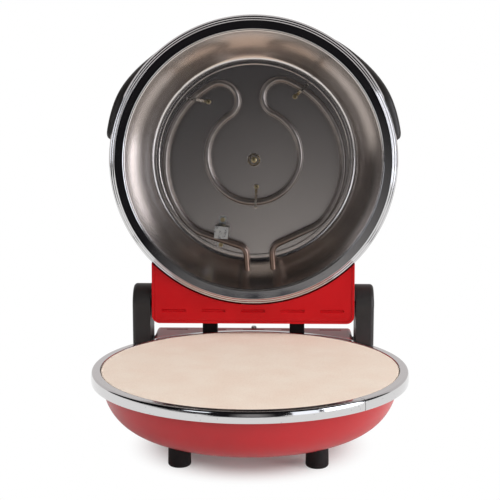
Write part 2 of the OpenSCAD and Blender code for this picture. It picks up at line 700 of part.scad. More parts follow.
module lower_housing() color(red) in_base() difference() {
    union() {
        difference() {
            cased_block(house_x, lower_front, lower_rear, foot_h, lower_top, house_corner, house_edge);
            difference() {
                cased_block(house_x - house_t, lower_front + house_t, lower_rear - house_t, foot_h - 1,
                    lower_top - house_t, house_corner - house_t, house_edge - house_t);
                plate_screw_places() translate([0, 0, foot_h + plate_t + seat])
                    cylinder(r = post_r - 1, h = far, $fn = 32);
            }
        }
        below_rim() translate([0, 0, lower_roof]) louvre_row(louvre_y_lower) louvre_hood(house_t);
    }
    lower_envelope(house_gap);
    below_rim() translate([0, 0, lower_roof]) louvre_row(louvre_y_lower) louvre_cut(house_t);
    plate_screw_places() translate([0, 0, foot_h]) cylinder(r = screw_r + pilot, h = 16, $fn = 32);
    arm_screw_places() translate([0, 0, house_x - house_t - 1 - arm_in])
        cylinder(r = screw_r + hole_gap, h = house_t + 2, $fn = 32);
    translate([gland_x, lower_rear + 1, gland_z]) rotate([90, 0, 0])
        cylinder(r = cord_r + gland_wall + seat, h = house_t + 2, $fn = 48);
    translate([0, lower_rear - cover_screw_in, lower_top - house_t - 1])
        cylinder(r = screw_r + hole_gap, h = house_t + 2, $fn = 32);
}

module lower_housing_plate() color(red) in_base() difference() {
    translate([0, 0, foot_h]) corner_plate(house_x - house_t - seat, lower_front + house_t + seat,
        lower_rear - house_t - seat, house_corner - house_t, plate_t);
    lower_envelope(house_gap);
    plate_screw_places() cylinder(r = screw_r + hole_gap, h = 60, $fn = 32);
    foot_places(false) cylinder(r = foot_shank + hole_gap, h = 60, $fn = 32);
}

module plate_screws() color("darkgray") in_base() plate_screw_places()
    translate([0, 0, foot_h - seat]) screw(screw_r, plate_screw_l, head_r, head_h);

module cover_screw() color("darkgray") in_base() translate([0, lower_rear - cover_screw_in, lower_top + seat])
    rotate([180, 0, 0]) screw(screw_r, cover_screw_l, head_r, head_h);

module cord_gland() color(black) in_base() translate([gland_x, lower_rear, gland_z]) rotate([-90, 0, 0])
    difference() {
        union() {
            translate([0, 0, seat])
                cylinder(r1 = cord_r + gland_flange, r2 = cord_r + gland_flange - 1.5, h = gland_wall,
                    $fn = 48);
            translate([0, 0, -house_t - gland_tail])
                cylinder(r = cord_r + gland_wall, h = house_t + gland_tail + seat, $fn = 48);
        }
        translate([0, 0, -house_t - gland_tail - 1]) cylinder(r = cord_r, h = far / 4, $fn = 48);
    }

// A ceramic block with a row of through bores for the wires' ends
module terminal_block() difference() {
    cube(block_size);
    for (i = [0:block_ways - 1])
        translate([block_size.x / block_ways * (i + 0.5), -1, block_size.z / 2]) rotate([-90, 0, 0])
            cylinder(r = block_bore, h = block_size.y + 2, $fn = 24);
}
module lower_terminal_block() color("ivory") in_base()
    translate([lower_block.x, lower_block.y, foot_h + plate_t + seat]) terminal_block();

// Hinge arms

module arm_section() union() {
    square([arm_r, arm_t - arm_edge]);
    square([arm_r - arm_edge, arm_t]);
    translate([arm_r - arm_edge, arm_t - arm_edge]) circle(arm_edge, $fn = 48);
}
arm_screw_z = [foot_h + 22, foot_h + 42];
module arm_screw_places() for (s = [-1, 1], z = arm_screw_z)
    translate([s * arm_in, hinge_y + 4, z]) rotate([0, s * 90, 0]) children();

module hinge_arm() difference() {
    union() {
        translate([arm_in, hinge_y, hinge_z]) rotate([90, 0, 90]) rotate_extrude(angle = 180) arm_section();
        translate([arm_in, hinge_y, arm_foot]) linear_extrude(hinge_z - arm_foot) rotate([0, 0, -90]) {
            arm_section();
            mirror([1, 0]) arm_section();
        }
        translate([house_x + house_gap, hinge_y - arm_r + 6, arm_foot])
            cube([arm_in - house_x - house_gap + 1, 2 * arm_r - 12, lower_top - house_edge - arm_foot]);
    }
    translate([house_x - 1, hinge_y, hinge_z]) rotate([0, 90, 0])
        cylinder(r = pin_r + pin_fit, h = arm_t + 10);
    translate([arm_in + arm_t - cap_sunk, hinge_y, hinge_z]) rotate([0, 90, 0])
        cylinder(r = cap_r + seat, h = arm_t);
    arm_screw_places() translate([0, 0, -5]) cylinder(r = screw_r + pilot, h = 17, $fn = 32);
}
module hinge_arm_right() color(black) in_base() hinge_arm();
module hinge_arm_left() color(black) in_base() mirror([1, 0, 0]) hinge_arm();

module arm_screws() color("darkgray") in_base() arm_screw_places()
    translate([0, 0, house_x - house_t - arm_in - seat]) screw(screw_r, arm_screw_l, head_r, head_h);

module hub_caps() color(black) in_base() sides()
    translate([arm_in + arm_t - cap_sunk + seat, hinge_y, hinge_z]) rotate([0, 90, 0]) rotate_extrude()
        polygon(concat([[0, 0], [cap_r, 0]], arc([cap_r, cap_sunk + cap_proud] - [0.7, 0.7], 0.7, 0, 90, 4),
            [[0, cap_sunk + cap_proud]]));

// Lid shells

module lid_dome() color(red) in_lid() difference() {
    above_rim() rotate_extrude() polygon(skin(dome_path, shell_t));
    translate([-window_x, upper_front, lid_z + band_h + window_head])
        cube([2 * window_x, far, dome_h - band_h - window_head - window_crown]);
    handle_screw_places() translate([0, 0, -30]) cylinder(r = screw_r + hole_gap, h = 40, $fn = 32);
}

module lid_ring() color("lightgray") in_lid() above_rim() rotate_extrude()
    polygon(skin(lid_ring_path, -ring_t));

// Turns a plan with the lid's front at +Y to the closed lid's place
module in_pan() above_rim() rotate([0, 0, 180]) mirror([1, 0, 0]) children();
module clocked() rotate([0, 0, element_turn]) children();

module lid_pan() color("silver") in_lid() difference() {
    above_rim() rotate_extrude() polygon(skin(pan_path, -liner_t));
    in_pan() {
        clocked() for (s = [-1, 1]) translate([s * leg_x, -120, tube_depth]) rotate([90, 0, 0])
            cylinder(r = leg_hole, h = 40, $fn = 32);
        for (p = clip_from) translate([p.x, p.y, pan_h - 5])
            cylinder(r = small_shank_r + hole_gap, h = 10, $fn = 32);
        strap_place() for (y = strap_tabs) translate([0, y, pan_h - 5])
            cylinder(r = small_shank_r + hole_gap, h = 10, $fn = 32);
        translate([0, 0, pan_h - 5]) cylinder(r = 2.7, h = 10, $fn = 32);
    }
}

module upper_element() color("rosybrown") in_lid() in_pan() clocked() translate([0, 0, tube_depth])
    swept(tube_rings(upper_way, tube_d, 14));

// A clip runs from its screw up over the tube and a little way down beyond it
module clip(from, to) {
    run = norm(to - from);
    over = run - 2 * clip_reach;
    strip = [[-3, pan_h - seat], [3.4, pan_h - seat], [over - 1, tube_roof], [run - 1, tube_roof],
        [run, tube_roof + 2.6]];
    translate([from.x, from.y, 0]) rotate([0, 0, atan2(to.y - from.y, to.x - from.x)]) difference() {
        union() {
            rotate([90, 0, 0]) linear_extrude(clip_w, center = true) polygon(skin(strip, clip_t));
            translate([0, 0, pan_h - seat - clip_t]) cylinder(r = small_head_r + 0.3, h = clip_t, $fn = 32);
        }
        translate([0, 0, pan_h - 5]) cylinder(r = small_shank_r + hole_gap, h = 10, $fn = 32);
    }
}
module element_clips() color("tan") in_lid() in_pan() for (i = [0:2]) clip(clip_from[i], clip_to[i]);

module clip_screws() color("khaki") in_lid() in_pan() for (p = clip_from)
    translate([p.x, p.y, pan_h - 2 * seat - clip_t]) screw(small_shank_r, small_screw_l, small_head_r, 1.8);

module element_ferrules() color("silver") in_lid() in_pan() clocked() for (s = [-1, 1])
    translate([s * leg_x, -pan_wall_y, tube_depth]) rotate([90, 0, 0]) difference() {
        union() {
            translate([0, 0, pan_flange_up]) cylinder(r = leg_hole + pan_flange, h = pan_flange, $fn = 32);
            translate([0, 0, -pan_neck])
                cylinder(r = leg_hole - seat, h = pan_neck + pan_flange_up + pan_flange / 2, $fn = 32);
        }
        translate([0, 0, -5]) cylinder(r = tube_d / 2 + seat, h = 12, $fn = 32);
    }
pan_wall_r = pan_arc_c.x + sqrt(pow(pan_corner, 2) - pow(tube_depth - pan_arc_c.y, 2));
pan_wall_y = sqrt(pow(pan_wall_r, 2) - pow(leg_x, 2)) + liner_t + 1;
pan_flange = 1.2;
pan_neck = 3;
pan_flange_up = (leg_hole + pan_flange) * tan(pan_lean) + house_gap;

module centre_washer() color("tan") in_lid() above_rim() translate([0, 0, pan_h - seat]) mirror([0, 0, 1])
    rotate_extrude() polygon(skin([[2.8, 0.8], [3.9, 0.8], [cup_r - 2.2, 0.8], [cup_r - 1.2, 2.2],
        [cup_r - 0.4, 2.2], [cup_r, 0]], 0.6));

module centre_bolt() color("khaki") in_lid() above_rim() translate([0, 0, pan_h - 1]) {
    cylinder(r = 2.5, h = 16, $fn = 32);
    rotate([180, 0, 0]) rotate_extrude() polygon(concat([[0, 0]], [[3.4, 0]], [[3.4, 1.2]],
        arc([2, 1.2], 1.4, 0, 90, 5), [[0, 2.6]]));
}

module centre_post() color("darkgray") in_lid() above_rim() translate([0, 0, pan_h + liner_t + seat])
    difference() {
        cylinder(r = post_r, h = dome_h - shell_t - pan_h - liner_t - 2 * seat, $fn = 48);
        translate([0, 0, -1]) cylinder(r = 2.55, h = 17, $fn = 32);
    }

module strap_place() translate([strap_mid.x, strap_mid.y, 0]) rotate([0, 0, -strap_turn]) children();

module sensor_strap() color("whitesmoke") in_lid() in_pan() strap_place() difference() {
    intersection() {
        rotate([90, 0, 90]) linear_extrude(plate_w, center = true) union() {
            polygon(skin(strap_foot, -strap_t));
            polygon(skin(strap_path, -strap_t));
        }
        union() {
            translate([-tab_w / 2, -40, 0]) cube([tab_w, 80, far]);
            translate([-plate_w / 2, -6.8, 0]) cube([plate_w, 14, tube_roof + 3]);
        }
    }
    for (y = strap_tabs) translate([0, y, pan_h - 5])
        cylinder(r = small_shank_r + hole_gap, h = 10, $fn = 32);
}

module sensor_button() color("silver") in_lid() in_pan() strap_place() translate([0, 1, 0]) {
    translate([0, 0, tube_roof + 0.6]) cylinder(r = 4.6, h = button_foot - tube_roof - 0.6, $fn = 48);
    translate([0, 0, button_foot - 1.1]) cylinder(r = 5.4, h = 1.1, $fn = 48);
}

module sensor_screws() color("khaki") in_lid() in_pan() strap_place() for (y = strap_tabs)
    translate([0, y, pan_h - strap_t - 2 * seat]) screw(small_shank_r, small_screw_l, small_head_r, 1.8);

module lid_insulation() color("beige") in_lid() in_pan() translate([0, 0, pan_h + liner_t + seat])
    difference() {
        cylinder(r = lid_felt_r, h = dome_h - shell_t - pan_h - liner_t - 2 * seat);
        translate([0, 0, -1]) cylinder(r = post_r + seat, h = far, $fn = 48);
        for (p = clip_from) translate([p.x, p.y, -1]) cylinder(r = felt_pocket - 1, h = 8, $fn = 32);
        strap_place() for (y = strap_tabs) translate([0, y, -1])
            cylinder(r = felt_pocket - 1, h = 8, $fn = 32);
    }

// Handle

function dome_r(h) = ellipse_r(dome_top_r, dome_rim, band_h, dome_h, h);
handle_boss_l = handle_a - handle_w / 2 - dome_r(handle_low) + handle_boss_foot + handle_boss_in;
module handle_screw_places() above_rim() for (s = [0, 180], a = handle_screw_angles)
    outwards(s == 0 ? -a : 180 + a, dome_r(handle_low), handle_low) children();

module lid_handle() color(black) in_lid() difference() {
    union() {
        above_rim() swept(handle_rings);
        handle_screw_places() translate([0, 0, -handle_boss_foot])
            cylinder(r = handle_boss_r, h = handle_boss_l, $fn = 48);
    }
    translate([0, 0, lid_z]) shell_envelope(dome_path, seat);
    handle_screw_places() translate([0, 0, -5]) cylinder(r = screw_r + pilot, h = 16, $fn = 32);
}

module handle_screws() color("darkgray") in_lid() handle_screw_places()
    translate([0, 0, -shell_t - slope_gap]) screw(screw_r, handle_screw_l, head_r, head_h);

// Upper housing

module upper_housing() color(red) in_lid() difference() {
    union() {
        difference() {
            cased_block(house_x, upper_front, upper_rear, lid_z + upper_rim, lid_z + upper_roof,
                house_corner, house_edge);
            cased_block(house_x - house_t, upper_front - 1, upper_rear - house_t, lid_z,
                lid_z + upper_roof - house_t, house_corner - house_t, house_edge - house_t);
        }
        sides() translate([boss_in, hinge_y, hinge_z]) rotate([0, 90, 0])
            cylinder(r = boss_r, h = house_x - house_t - boss_in + 1);
    }
    above_rim() shell_envelope(dome_path, house_gap);
    sides() translate([boss_in - 5, hinge_y, hinge_z]) rotate([0, 90, 0])
        cylinder(r = pin_r + pin_fit, h = 30);
    translate([-knob_x, knob_y, lid_z + upper_roof - house_t - 1])
        cylinder(r = shaft_r + 2 + seat, h = house_t + 2, $fn = 48);
    lamp_places() translate([0, 0, -house_t - 1]) cylinder(r = lamp_r + seat, h = house_t + 2, $fn = 48);
    buffer_places() cylinder(r = screw_r + hole_gap, h = 10, center = true, $fn = 32);
}

module upper_housing_panel() color(red) in_lid() difference() {
    translate([0, 0, lid_z + panel_depth]) union() {
        corner_plate(house_x - house_t - seat, upper_front, upper_rear - house_t - seat,
            house_corner - house_t, panel_t);
        louvre_row(louvre_y_upper) louvre_hood(panel_t);
    }
    above_rim() shell_envelope(dome_path, house_gap);
    translate([0, 0, lid_z + panel_depth]) louvre_row(louvre_y_upper) louvre_cut(panel_t);
}

module hinge_pins() color("darkgray") in_lid() sides()
    translate([boss_in - pin_head - seat, hinge_y, hinge_z]) rotate([0, 90, 0]) {
        cylinder(r = pin_r, h = arm_in + arm_t - cap_sunk - 0.2 - boss_in + pin_head + seat);
        cylinder(r = pin_r + 2, h = pin_head);
    }

module buffer_places() for (s = [-1, 1])
    translate([s * buffer_x, upper_rear, lid_z + buffer_mid]) rotate([-90, 0, 0]) children();

module rear_buffers() color(black) in_lid() buffer_places() difference() {
    translate([0, 0, seat]) linear_extrude(buffer_end - upper_rear - seat) union() {
        square([buffer_w - 3, buffer_w], center = true);
        square([buffer_w, buffer_w - 3], center = true);
        for (x = [-1, 1], y = [-1, 1]) translate([x, y] * (buffer_w / 2 - 1.5)) circle(1.5, $fn = 32);
    }
    cylinder(r = screw_r + pilot, h = 10, $fn = 32);
}

module buffer_screws() color("darkgray") in_lid() buffer_places()
    translate([0, 0, -house_t - seat]) screw(screw_r, buffer_screw_l, head_r, head_h);

// Controls on the upper housing's roof

module thermostat_body() color("silver") in_lid() translate([-knob_x, knob_y, lid_z + upper_roof - house_t]) {
    translate([-thermostat_w / 2, -thermostat_w / 2, -thermostat_t - seat])
        cube([thermostat_w, thermostat_w, thermostat_t]);
    translate([0, 0, -1]) cylinder(r = shaft_r + 2, h = 1 + house_t, $fn = 48);
    cylinder(r = shaft_r, h = house_t + knob_gap + knob_bore - 0.5, $fn = 48);
}

module lamp_places() for (s = [-1, 1])
    translate([lamp_x + s * lamp_pitch / 2, knob_y, lid_z + upper_roof]) children();

module indicator_lamps() color("orangered") in_lid() lamp_places() union() {
    translate([0, 0, -house_t - tail_h]) cylinder(r = lamp_r, h = house_t + tail_h + seat, $fn = 48);
    translate([0, 0, seat]) rotate_extrude() polygon(concat(
        [[0, 0], [lamp_r + lens_rim, 0], [lamp_r + lens_rim, 0.8]],
        [for (a = [0:15:90]) [lamp_r * cos(a), 0.8 + lens_h * sin(a)]]));
}

module upper_terminal_block() color("ivory") in_lid()
    translate([upper_block.x, upper_block.y, lid_z + upper_roof - house_t - block_size.z - seat])
        terminal_block();

// The knob has a skirt, a fluted grip and a pointer line
module thermostat_knob() color(black) in_lid() translate([-knob_x, knob_y, lid_z + upper_roof + knob_gap])
    difference() {
        rotate_extrude() polygon([[0, 0], [knob_r, 0], [knob_r, skirt_h - 0.8], [knob_r - 0.8, skirt_h],
            [knob_r - 3, skirt_h], [knob_r - 3.6, knob_h - 1], [knob_r - 4.6, knob_h], [0, knob_h]]);
        for (i = [0.5:flutes]) rotate([0, 0, i * 360 / flutes]) translate([knob_r - 2.2, 0, skirt_h + 0.5])
            cylinder(r = flute_r, h = knob_h, $fn = 24);
        translate([0, 0, -1]) cylinder(r = shaft_r + pin_fit, h = knob_bore + 1, $fn = 48);
        translate([-0.6, 4, knob_h - 0.6]) cube([1.2, knob_r - 9.6, 2]);
    }

base_bowl();
base_ring();
base_liner();
baking_stone();
lower_element();
lower_element_clips();
lower_clip_screws();
lower_element_ferrules();
base_insulation();
thermal_cutout();
front_feet();
rear_feet();
foot_screws();
foot_nuts();
lower_housing();
lower_housing_plate();
plate_screws();
cover_screw();
hinge_arm_left();
hinge_arm_right();
arm_screws();
hub_caps();
cord_gland();
lower_terminal_block();
lid_dome();
lid_ring();
lid_pan();
upper_element();
element_clips();
clip_screws();
element_ferrules();
centre_washer();
centre_bolt();
centre_post();
sensor_strap();
sensor_button();
sensor_screws();
lid_insulation();
lid_handle();
handle_screws();
upper_housing();
upper_housing_panel();
hinge_pins();
rear_buffers();
buffer_screws();
thermostat_body();
indicator_lamps();
upper_terminal_block();
thermostat_knob();
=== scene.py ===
# Electric pizza maker with its lid open, dressed for a pale studio table
import json
import math

import bmesh
import bpy
import numpy as np
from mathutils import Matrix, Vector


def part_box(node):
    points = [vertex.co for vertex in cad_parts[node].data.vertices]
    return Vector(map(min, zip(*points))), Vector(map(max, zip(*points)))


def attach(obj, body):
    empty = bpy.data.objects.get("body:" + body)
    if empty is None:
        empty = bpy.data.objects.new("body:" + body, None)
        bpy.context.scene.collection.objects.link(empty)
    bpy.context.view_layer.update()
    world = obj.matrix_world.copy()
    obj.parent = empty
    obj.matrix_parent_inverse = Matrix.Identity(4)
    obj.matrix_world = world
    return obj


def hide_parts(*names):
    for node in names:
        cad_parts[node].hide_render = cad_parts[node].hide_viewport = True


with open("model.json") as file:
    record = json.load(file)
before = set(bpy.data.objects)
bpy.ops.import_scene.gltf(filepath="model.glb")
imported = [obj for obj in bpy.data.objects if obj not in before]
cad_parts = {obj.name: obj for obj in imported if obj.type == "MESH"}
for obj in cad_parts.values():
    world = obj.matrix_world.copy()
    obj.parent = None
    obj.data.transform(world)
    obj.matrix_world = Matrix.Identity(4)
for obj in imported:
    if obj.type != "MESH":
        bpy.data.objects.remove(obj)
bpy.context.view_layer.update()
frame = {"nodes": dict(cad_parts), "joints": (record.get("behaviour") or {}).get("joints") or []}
print("frame: packed model loaded")

mm = 0.001
weld = 0.002 * mm      # points closer than this are made one
nodes = frame["nodes"]
joints = {j["name"]: j for j in frame["joints"]}

# Where the two round halves stand, read from the frame
ringLow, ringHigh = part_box("base_ring")
hinge = np.array(joints["lid_hinge"]["pos_m"])
place = {
    "axisY": (ringLow.y + ringHigh.y) / 2,                          # the base's axis, seen from above
    "rimZ": ringHigh.z,                                             # top face of the base ring
    "lidGap": 0.4 * mm,                                             # gap between the rings when shut
    "lidOpen": math.radians(joints["lid_hinge"]["range_deg"][1]),   # how far the lid is swung open
}


# Colours are written as sRGB hex and turned to linear here
def hexToLinear(code):
    channels = np.array([int(code[i:i + 2], 16) for i in (1, 3, 5)]) / 255
    linear = np.where(channels <= 0.04045, channels / 12.92, ((channels + 0.055) / 1.055) ** 2.4)
    return (*linear, 1.0)


# Adds one node, sets its fields and sockets, and joins sockets to other nodes' outputs
def addNode(tree, kind, settings=None, links=None, stops=None):
    node = tree.nodes.new(kind)
    for key, value in (settings or {}).items():
        if isinstance(key, int) or key in node.inputs:
            node.inputs[key].default_value = hexToLinear(value) if isinstance(value, str) else value
        else:
            setattr(node, key, value)
    for key, source in (links or {}).items():
        tree.links.new(source, node.inputs[key])
    for i, (position, code) in enumerate(stops or []):
        element = node.color_ramp.elements[i] if i < 2 else node.color_ramp.elements.new(position)
        element.position = position
        element.color = hexToLinear(code)
    return node


# A material with one Principled shader and Object coordinates, in metres
def startMaterial(name, settings):
    material = bpy.data.materials.new(name)
    material.use_nodes = True
    tree = material.node_tree
    shader = tree.nodes["Principled BSDF"]
    for key, value in settings.items():
        shader.inputs[key].default_value = hexToLinear(value) if isinstance(value, str) else value
    coords = addNode(tree, "ShaderNodeTexCoord").outputs["Object"]
    return material, tree, shader, coords


# Bump from a fine noise: grain is the spacing of its bumps and height how tall they are
def grainBump(tree, shader, coords, grain, height, detail=3.0):
    noise = addNode(tree, "ShaderNodeTexNoise", {"Scale": 1 / grain, "Detail": detail}, {"Vector": coords})
    bump = addNode(tree, "ShaderNodeBump", {"Distance": height}, {"Height": noise.outputs["Fac"]})
    tree.links.new(bump.outputs["Normal"], shader.inputs["Normal"])
    return noise


# Lets a noise vary the roughness between two values over patches of a given size
def patchyRoughness(tree, shader, coords, patch, low, high):
    noise = addNode(tree, "ShaderNodeTexNoise", {"Scale": 1 / patch, "Detail": 4.0}, {"Vector": coords})
    spread = addNode(tree, "ShaderNodeMapRange",
                     {"From Min": 0.3, "From Max": 0.7, "To Min": low, "To Max": high},
                     {"Value": noise.outputs["Fac"]})
    tree.links.new(spread.outputs["Result"], shader.inputs["Roughness"])


# Lets a noise vary the base colour between two hex colours over patches of a given size
def patchyColour(tree, shader, coords, patch, dark, pale):
    noise = addNode(tree, "ShaderNodeTexNoise", {"Scale": 1 / patch, "Detail": 5.0}, {"Vector": coords})
    ramp = addNode(tree, "ShaderNodeValToRGB", None, {"Fac": noise.outputs["Fac"]},
                   [(0.35, dark), (0.65, pale)])
    tree.links.new(ramp.outputs["Color"], shader.inputs["Base Color"])
    return ramp


# Closed coordinates of the lid swung open about the hinge
def swingOpen(points):
    points = np.array(points, float)
    y, z = points[..., 1] - hinge[1], points[..., 2] - hinge[2]
    c, s = math.cos(place["lidOpen"]), math.sin(place["lidOpen"])
    points[..., 1], points[..., 2] = hinge[1] + y * c + z * s, hinge[2] - y * s + z * c
    return points


lidCentre = swingOpen([0, place["axisY"], place["rimZ"] + place["lidGap"]])


# Radius, angle from the front and depth below the base's rim plane, to a place in the frame
def inBase(radius, angle, depth):
    x, y, z = np.broadcast_arrays(radius * np.sin(angle), place["axisY"] - radius * np.cos(angle),
                                  place["rimZ"] - depth)
    return np.stack([x, y, z], -1)


# Radius, angle from the front and depth above the lid's rim plane, to a place in the open lid
def inLid(radius, angle, depth):
    x, y, z = np.broadcast_arrays(radius * np.sin(angle), place["axisY"] - radius * np.cos(angle),
                                  place["rimZ"] + place["lidGap"] + depth)
    return swingOpen(np.stack([x, y, z], -1))


# A mesh from a grid of points: rows follow one parameter and columns the other
def gridMesh(name, points, closeRows=False, closeColumns=False, capEnds=False, **rest):
    rows, columns = points.shape[:2]
    i = np.arange(rows if closeRows else rows - 1)[:, None]
    j = np.arange(columns if closeColumns else columns - 1)[None, :]
    iNext, jNext = (i + 1) % rows, (j + 1) % columns
    here, below = i * columns, iNext * columns
    quads = np.stack([here + j, here + jNext, below + jNext, below + j], -1)
    faces = quads.reshape(-1, 4).tolist()
    if capEnds:
        total = rows * columns
        faces += [list(range(0, total, columns)), list(range(columns - 1, total, columns))]
    return finishMesh(name, points.reshape(-1, 3), faces, **rest)


# Puts points and faces into a mesh, welds what meets, turns faces outwards and lets it ride on a body
def finishMesh(name, points, faces, material, body, slot, replaces=(), sharp=35):
    mesh = bpy.data.meshes.new(name)
    mesh.from_pydata(points.tolist(), [], faces)
    shape = bmesh.new()
    shape.from_mesh(mesh)
    bmesh.ops.remove_doubles(shape, verts=shape.verts, dist=weld)
    bmesh.ops.dissolve_degenerate(shape, dist=weld, edges=shape.edges)
    bmesh.ops.recalc_face_normals(shape, faces=shape.faces)
    shape.to_mesh(mesh)
    shape.free()
    mesh.shade_smooth()
    mesh.set_sharp_from_angle(angle=math.radians(sharp))
    mesh.materials.append(material)
    piece = bpy.data.objects.new(name, mesh)
    bpy.context.scene.collection.objects.link(piece)
    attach(piece, body)
    if replaces:
        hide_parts(*replaces)
    return piece


# Outline through corners (radius, depth, rounding): an arc tangent to both sides, with a point held beside it
def roundCorners(corners, steps=6, hold=0.25):
    points = []
    for i, (x, y, rounding) in enumerate(corners):
        corner = np.array([x, y], float)
        if rounding == 0:
            points.append(corner)
            continue
        before = corner - np.array(corners[i - 1][:2])
        after = np.array(corners[i + 1][:2]) - corner
        before, after = before / np.linalg.norm(before), after / np.linalg.norm(after)
        turn = math.atan2(before[0] * after[1] - before[1] * after[0], before @ after)
        reach = rounding * abs(math.tan(turn / 2))
        arcStart = corner - before * reach
        centre = arcStart + math.copysign(rounding, turn) * np.array([-before[1], before[0]])
        spoke = arcStart - centre
        points.append(corner - before * (reach + hold * rounding))
        for angle in np.linspace(0, turn, steps + 1):
            c, s = math.cos(angle), math.sin(angle)
            points.append(centre + [spoke[0] * c - spoke[1] * s, spoke[0] * s + spoke[1] * c])
        points.append(corner + after * (reach + hold * rounding))
    return np.array(points)


# Quarter of an ellipse from the flat (r0, h1) out to the wall (r1, h0), by its sine and cosine
def quarterEllipse(r0, r1, h0, h1, steps=48):
    t = np.linspace(0, math.pi / 2, steps + 1)
    return np.stack([r0 + (r1 - r0) * np.sin(t), h0 + (h1 - h0) * np.cos(t)], -1)


# Points round part of a circle in equal steps, angles in degrees
def arcPoints(centre, radius, start, end, steps):
    t = np.radians(np.linspace(start, end, steps + 1))
    return np.stack([centre[0] + radius * np.cos(t), centre[1] + radius * np.sin(t)], -1)


# Unit vectors along a path at each of its points
def unitAlong(path):
    along = np.gradient(path, axis=0)
    return along / np.linalg.norm(along, axis=1, keepdims=True)


# Angles of a full turn in equal steps, without the last, which is the first again
def fullTurn(steps):
    return np.arange(steps) * 2 * math.pi / steps


# Turns plan points (x, y) anticlockwise about the origin
def turned(points, angle):
    c, s = math.cos(angle), math.sin(angle)
    return points @ np.array([[c, s], [-s, c]])


# Closed outline of a sheet: the path, then the path moved sideways by its thickness (left if positive)
def sheetOutline(path, thickness):
    along = unitAlong(path)
    return np.concatenate([path, (path + thickness * np.stack([-along[:, 1], along[:, 0]], -1))[::-1]])


# Turns a closed outline (radius, depth) in mm round the base's or lid's axis, less any gap at start
def revolve(name, outline, spot, steps=288, start=0.0, gap=0.0, **rest):
    outline = outline.copy()
    outline[:, 0] = np.maximum(outline[:, 0], 0)
    if gap:
        angle = np.linspace(start + gap / 2, start + 2 * math.pi - gap / 2, steps + 1)
    else:
        angle = fullTurn(steps)
    points = spot(outline[:, 0, None] * mm, angle[None, :], outline[:, 1, None] * mm)
    return gridMesh(name, points, closeRows=True, closeColumns=not gap, capEnds=bool(gap), **rest)


# Camera: the photograph's viewpoint, found from the two rings' outlines
view = {
    "distance": 1.2922,       # metres from the middle of the base ring's top
    "elevation": 14.87,       # degrees above it
    "azimuth": 1.36,          # degrees round to the right
    "tilt": 5.29,             # degrees that the camera looks above that middle
    "lens": 90.1,             # mm
    "sensor": 36,             # mm
    "nearest": 0.05,          # metres
}
camera = bpy.data.objects.new("camera", bpy.data.cameras.new("camera"))
bpy.context.scene.collection.objects.link(camera)
camera.data.lens = view["lens"]
camera.data.sensor_width = view["sensor"]
camera.data.clip_start = view["nearest"]
viewRise, viewTurn = math.radians(view["elevation"]), math.radians(view["azimuth"])
viewAcross = view["distance"] * math.cos(viewRise)
camera.location = (viewAcross * math.sin(viewTurn),
                   place["axisY"] - viewAcross * math.cos(viewTurn),
                   place["rimZ"] + view["distance"] * math.sin(viewRise))
camera.rotation_euler = (math.radians(90 + view["tilt"]) - viewRise, 0, viewTurn)
bpy.context.scene.camera = camera
bpy.context.scene.view_settings.view_transform = "Standard"
print("camera: set")

# World: even soft light, and plain white where the camera, metal or glass looks at it
sky = {"ambient": 0.42, "seen": 1.0}
world = bpy.data.worlds.new("paleStudio")
bpy.context.scene.world = world
world.use_nodes = True
worldTree = world.node_tree
rays = addNode(worldTree, "ShaderNodeLightPath")
cameraOrGlossy = addNode(worldTree, "ShaderNodeMath", {"operation": "MAXIMUM"},
                         {0: rays.outputs["Is Camera Ray"], 1: rays.outputs["Is Glossy Ray"]})
seenRays = addNode(worldTree, "ShaderNodeMath", {"operation": "MAXIMUM"},
                   {0: cameraOrGlossy.outputs[0], 1: rays.outputs["Is Transmission Ray"]})
skyLevel = addNode(worldTree, "ShaderNodeMapRange", {"To Min": sky["ambient"], "To Max": sky["seen"]},
                   {"Value": seenRays.outputs[0]})
background = worldTree.nodes["Background"]
background.inputs["Color"].default_value = (1, 1, 1, 1)
worldTree.links.new(skyLevel.outputs["Result"], background.inputs["Strength"])

# Soft boxes, which metal doesn't mirror: level is how bright white card renders at the target, facing the box
softBoxes = {
    "keyRight": {"at": (1.75, -0.75, 0.95), "size": (1.3, 1.7), "level": 0.53},
    "lowRight": {"at": (1.45, -0.65, 0.24), "size": (0.6, 0.4), "level": 0.27},
    "fillLeft": {"at": (-1.05, -1.25, 1.02), "size": (0.6, 0.7), "level": 0.16},
    "overhead": {"at": (0.1, -0.25, 1.7), "size": (1.5, 1.2), "level": 0.34},
}
lampTarget = np.array([0, 0.05, 0.15])      # the middle of the object
for name, box in softBoxes.items():
    lamp = bpy.data.lights.new(name, "AREA")
    lamp.shape = "RECTANGLE"
    lamp.size, lamp.size_y = box["size"]
    aim = lampTarget - np.array(box["at"])
    lamp.energy = box["level"] * math.pi ** 2 * float(aim @ aim)
    lampObject = bpy.data.objects.new(name, lamp)
    lampObject.location = box["at"]
    across = math.hypot(aim[0], aim[1])
    lampObject.rotation_euler = (math.atan2(across, -aim[2]), 0, math.atan2(-aim[0], aim[1]))
    lampObject.visible_glossy = False
    bpy.context.scene.collection.objects.link(lampObject)
print("light: world and soft boxes placed")


# A sheet of the stage, from its points and faces
def stageSheet(name, points, faces, material):
    mesh = bpy.data.meshes.new(name)
    mesh.from_pydata(points, [], faces)
    sheet = bpy.data.objects.new(name, mesh)
    bpy.context.scene.collection.objects.link(sheet)
    mesh.materials.append(material)
    return sheet


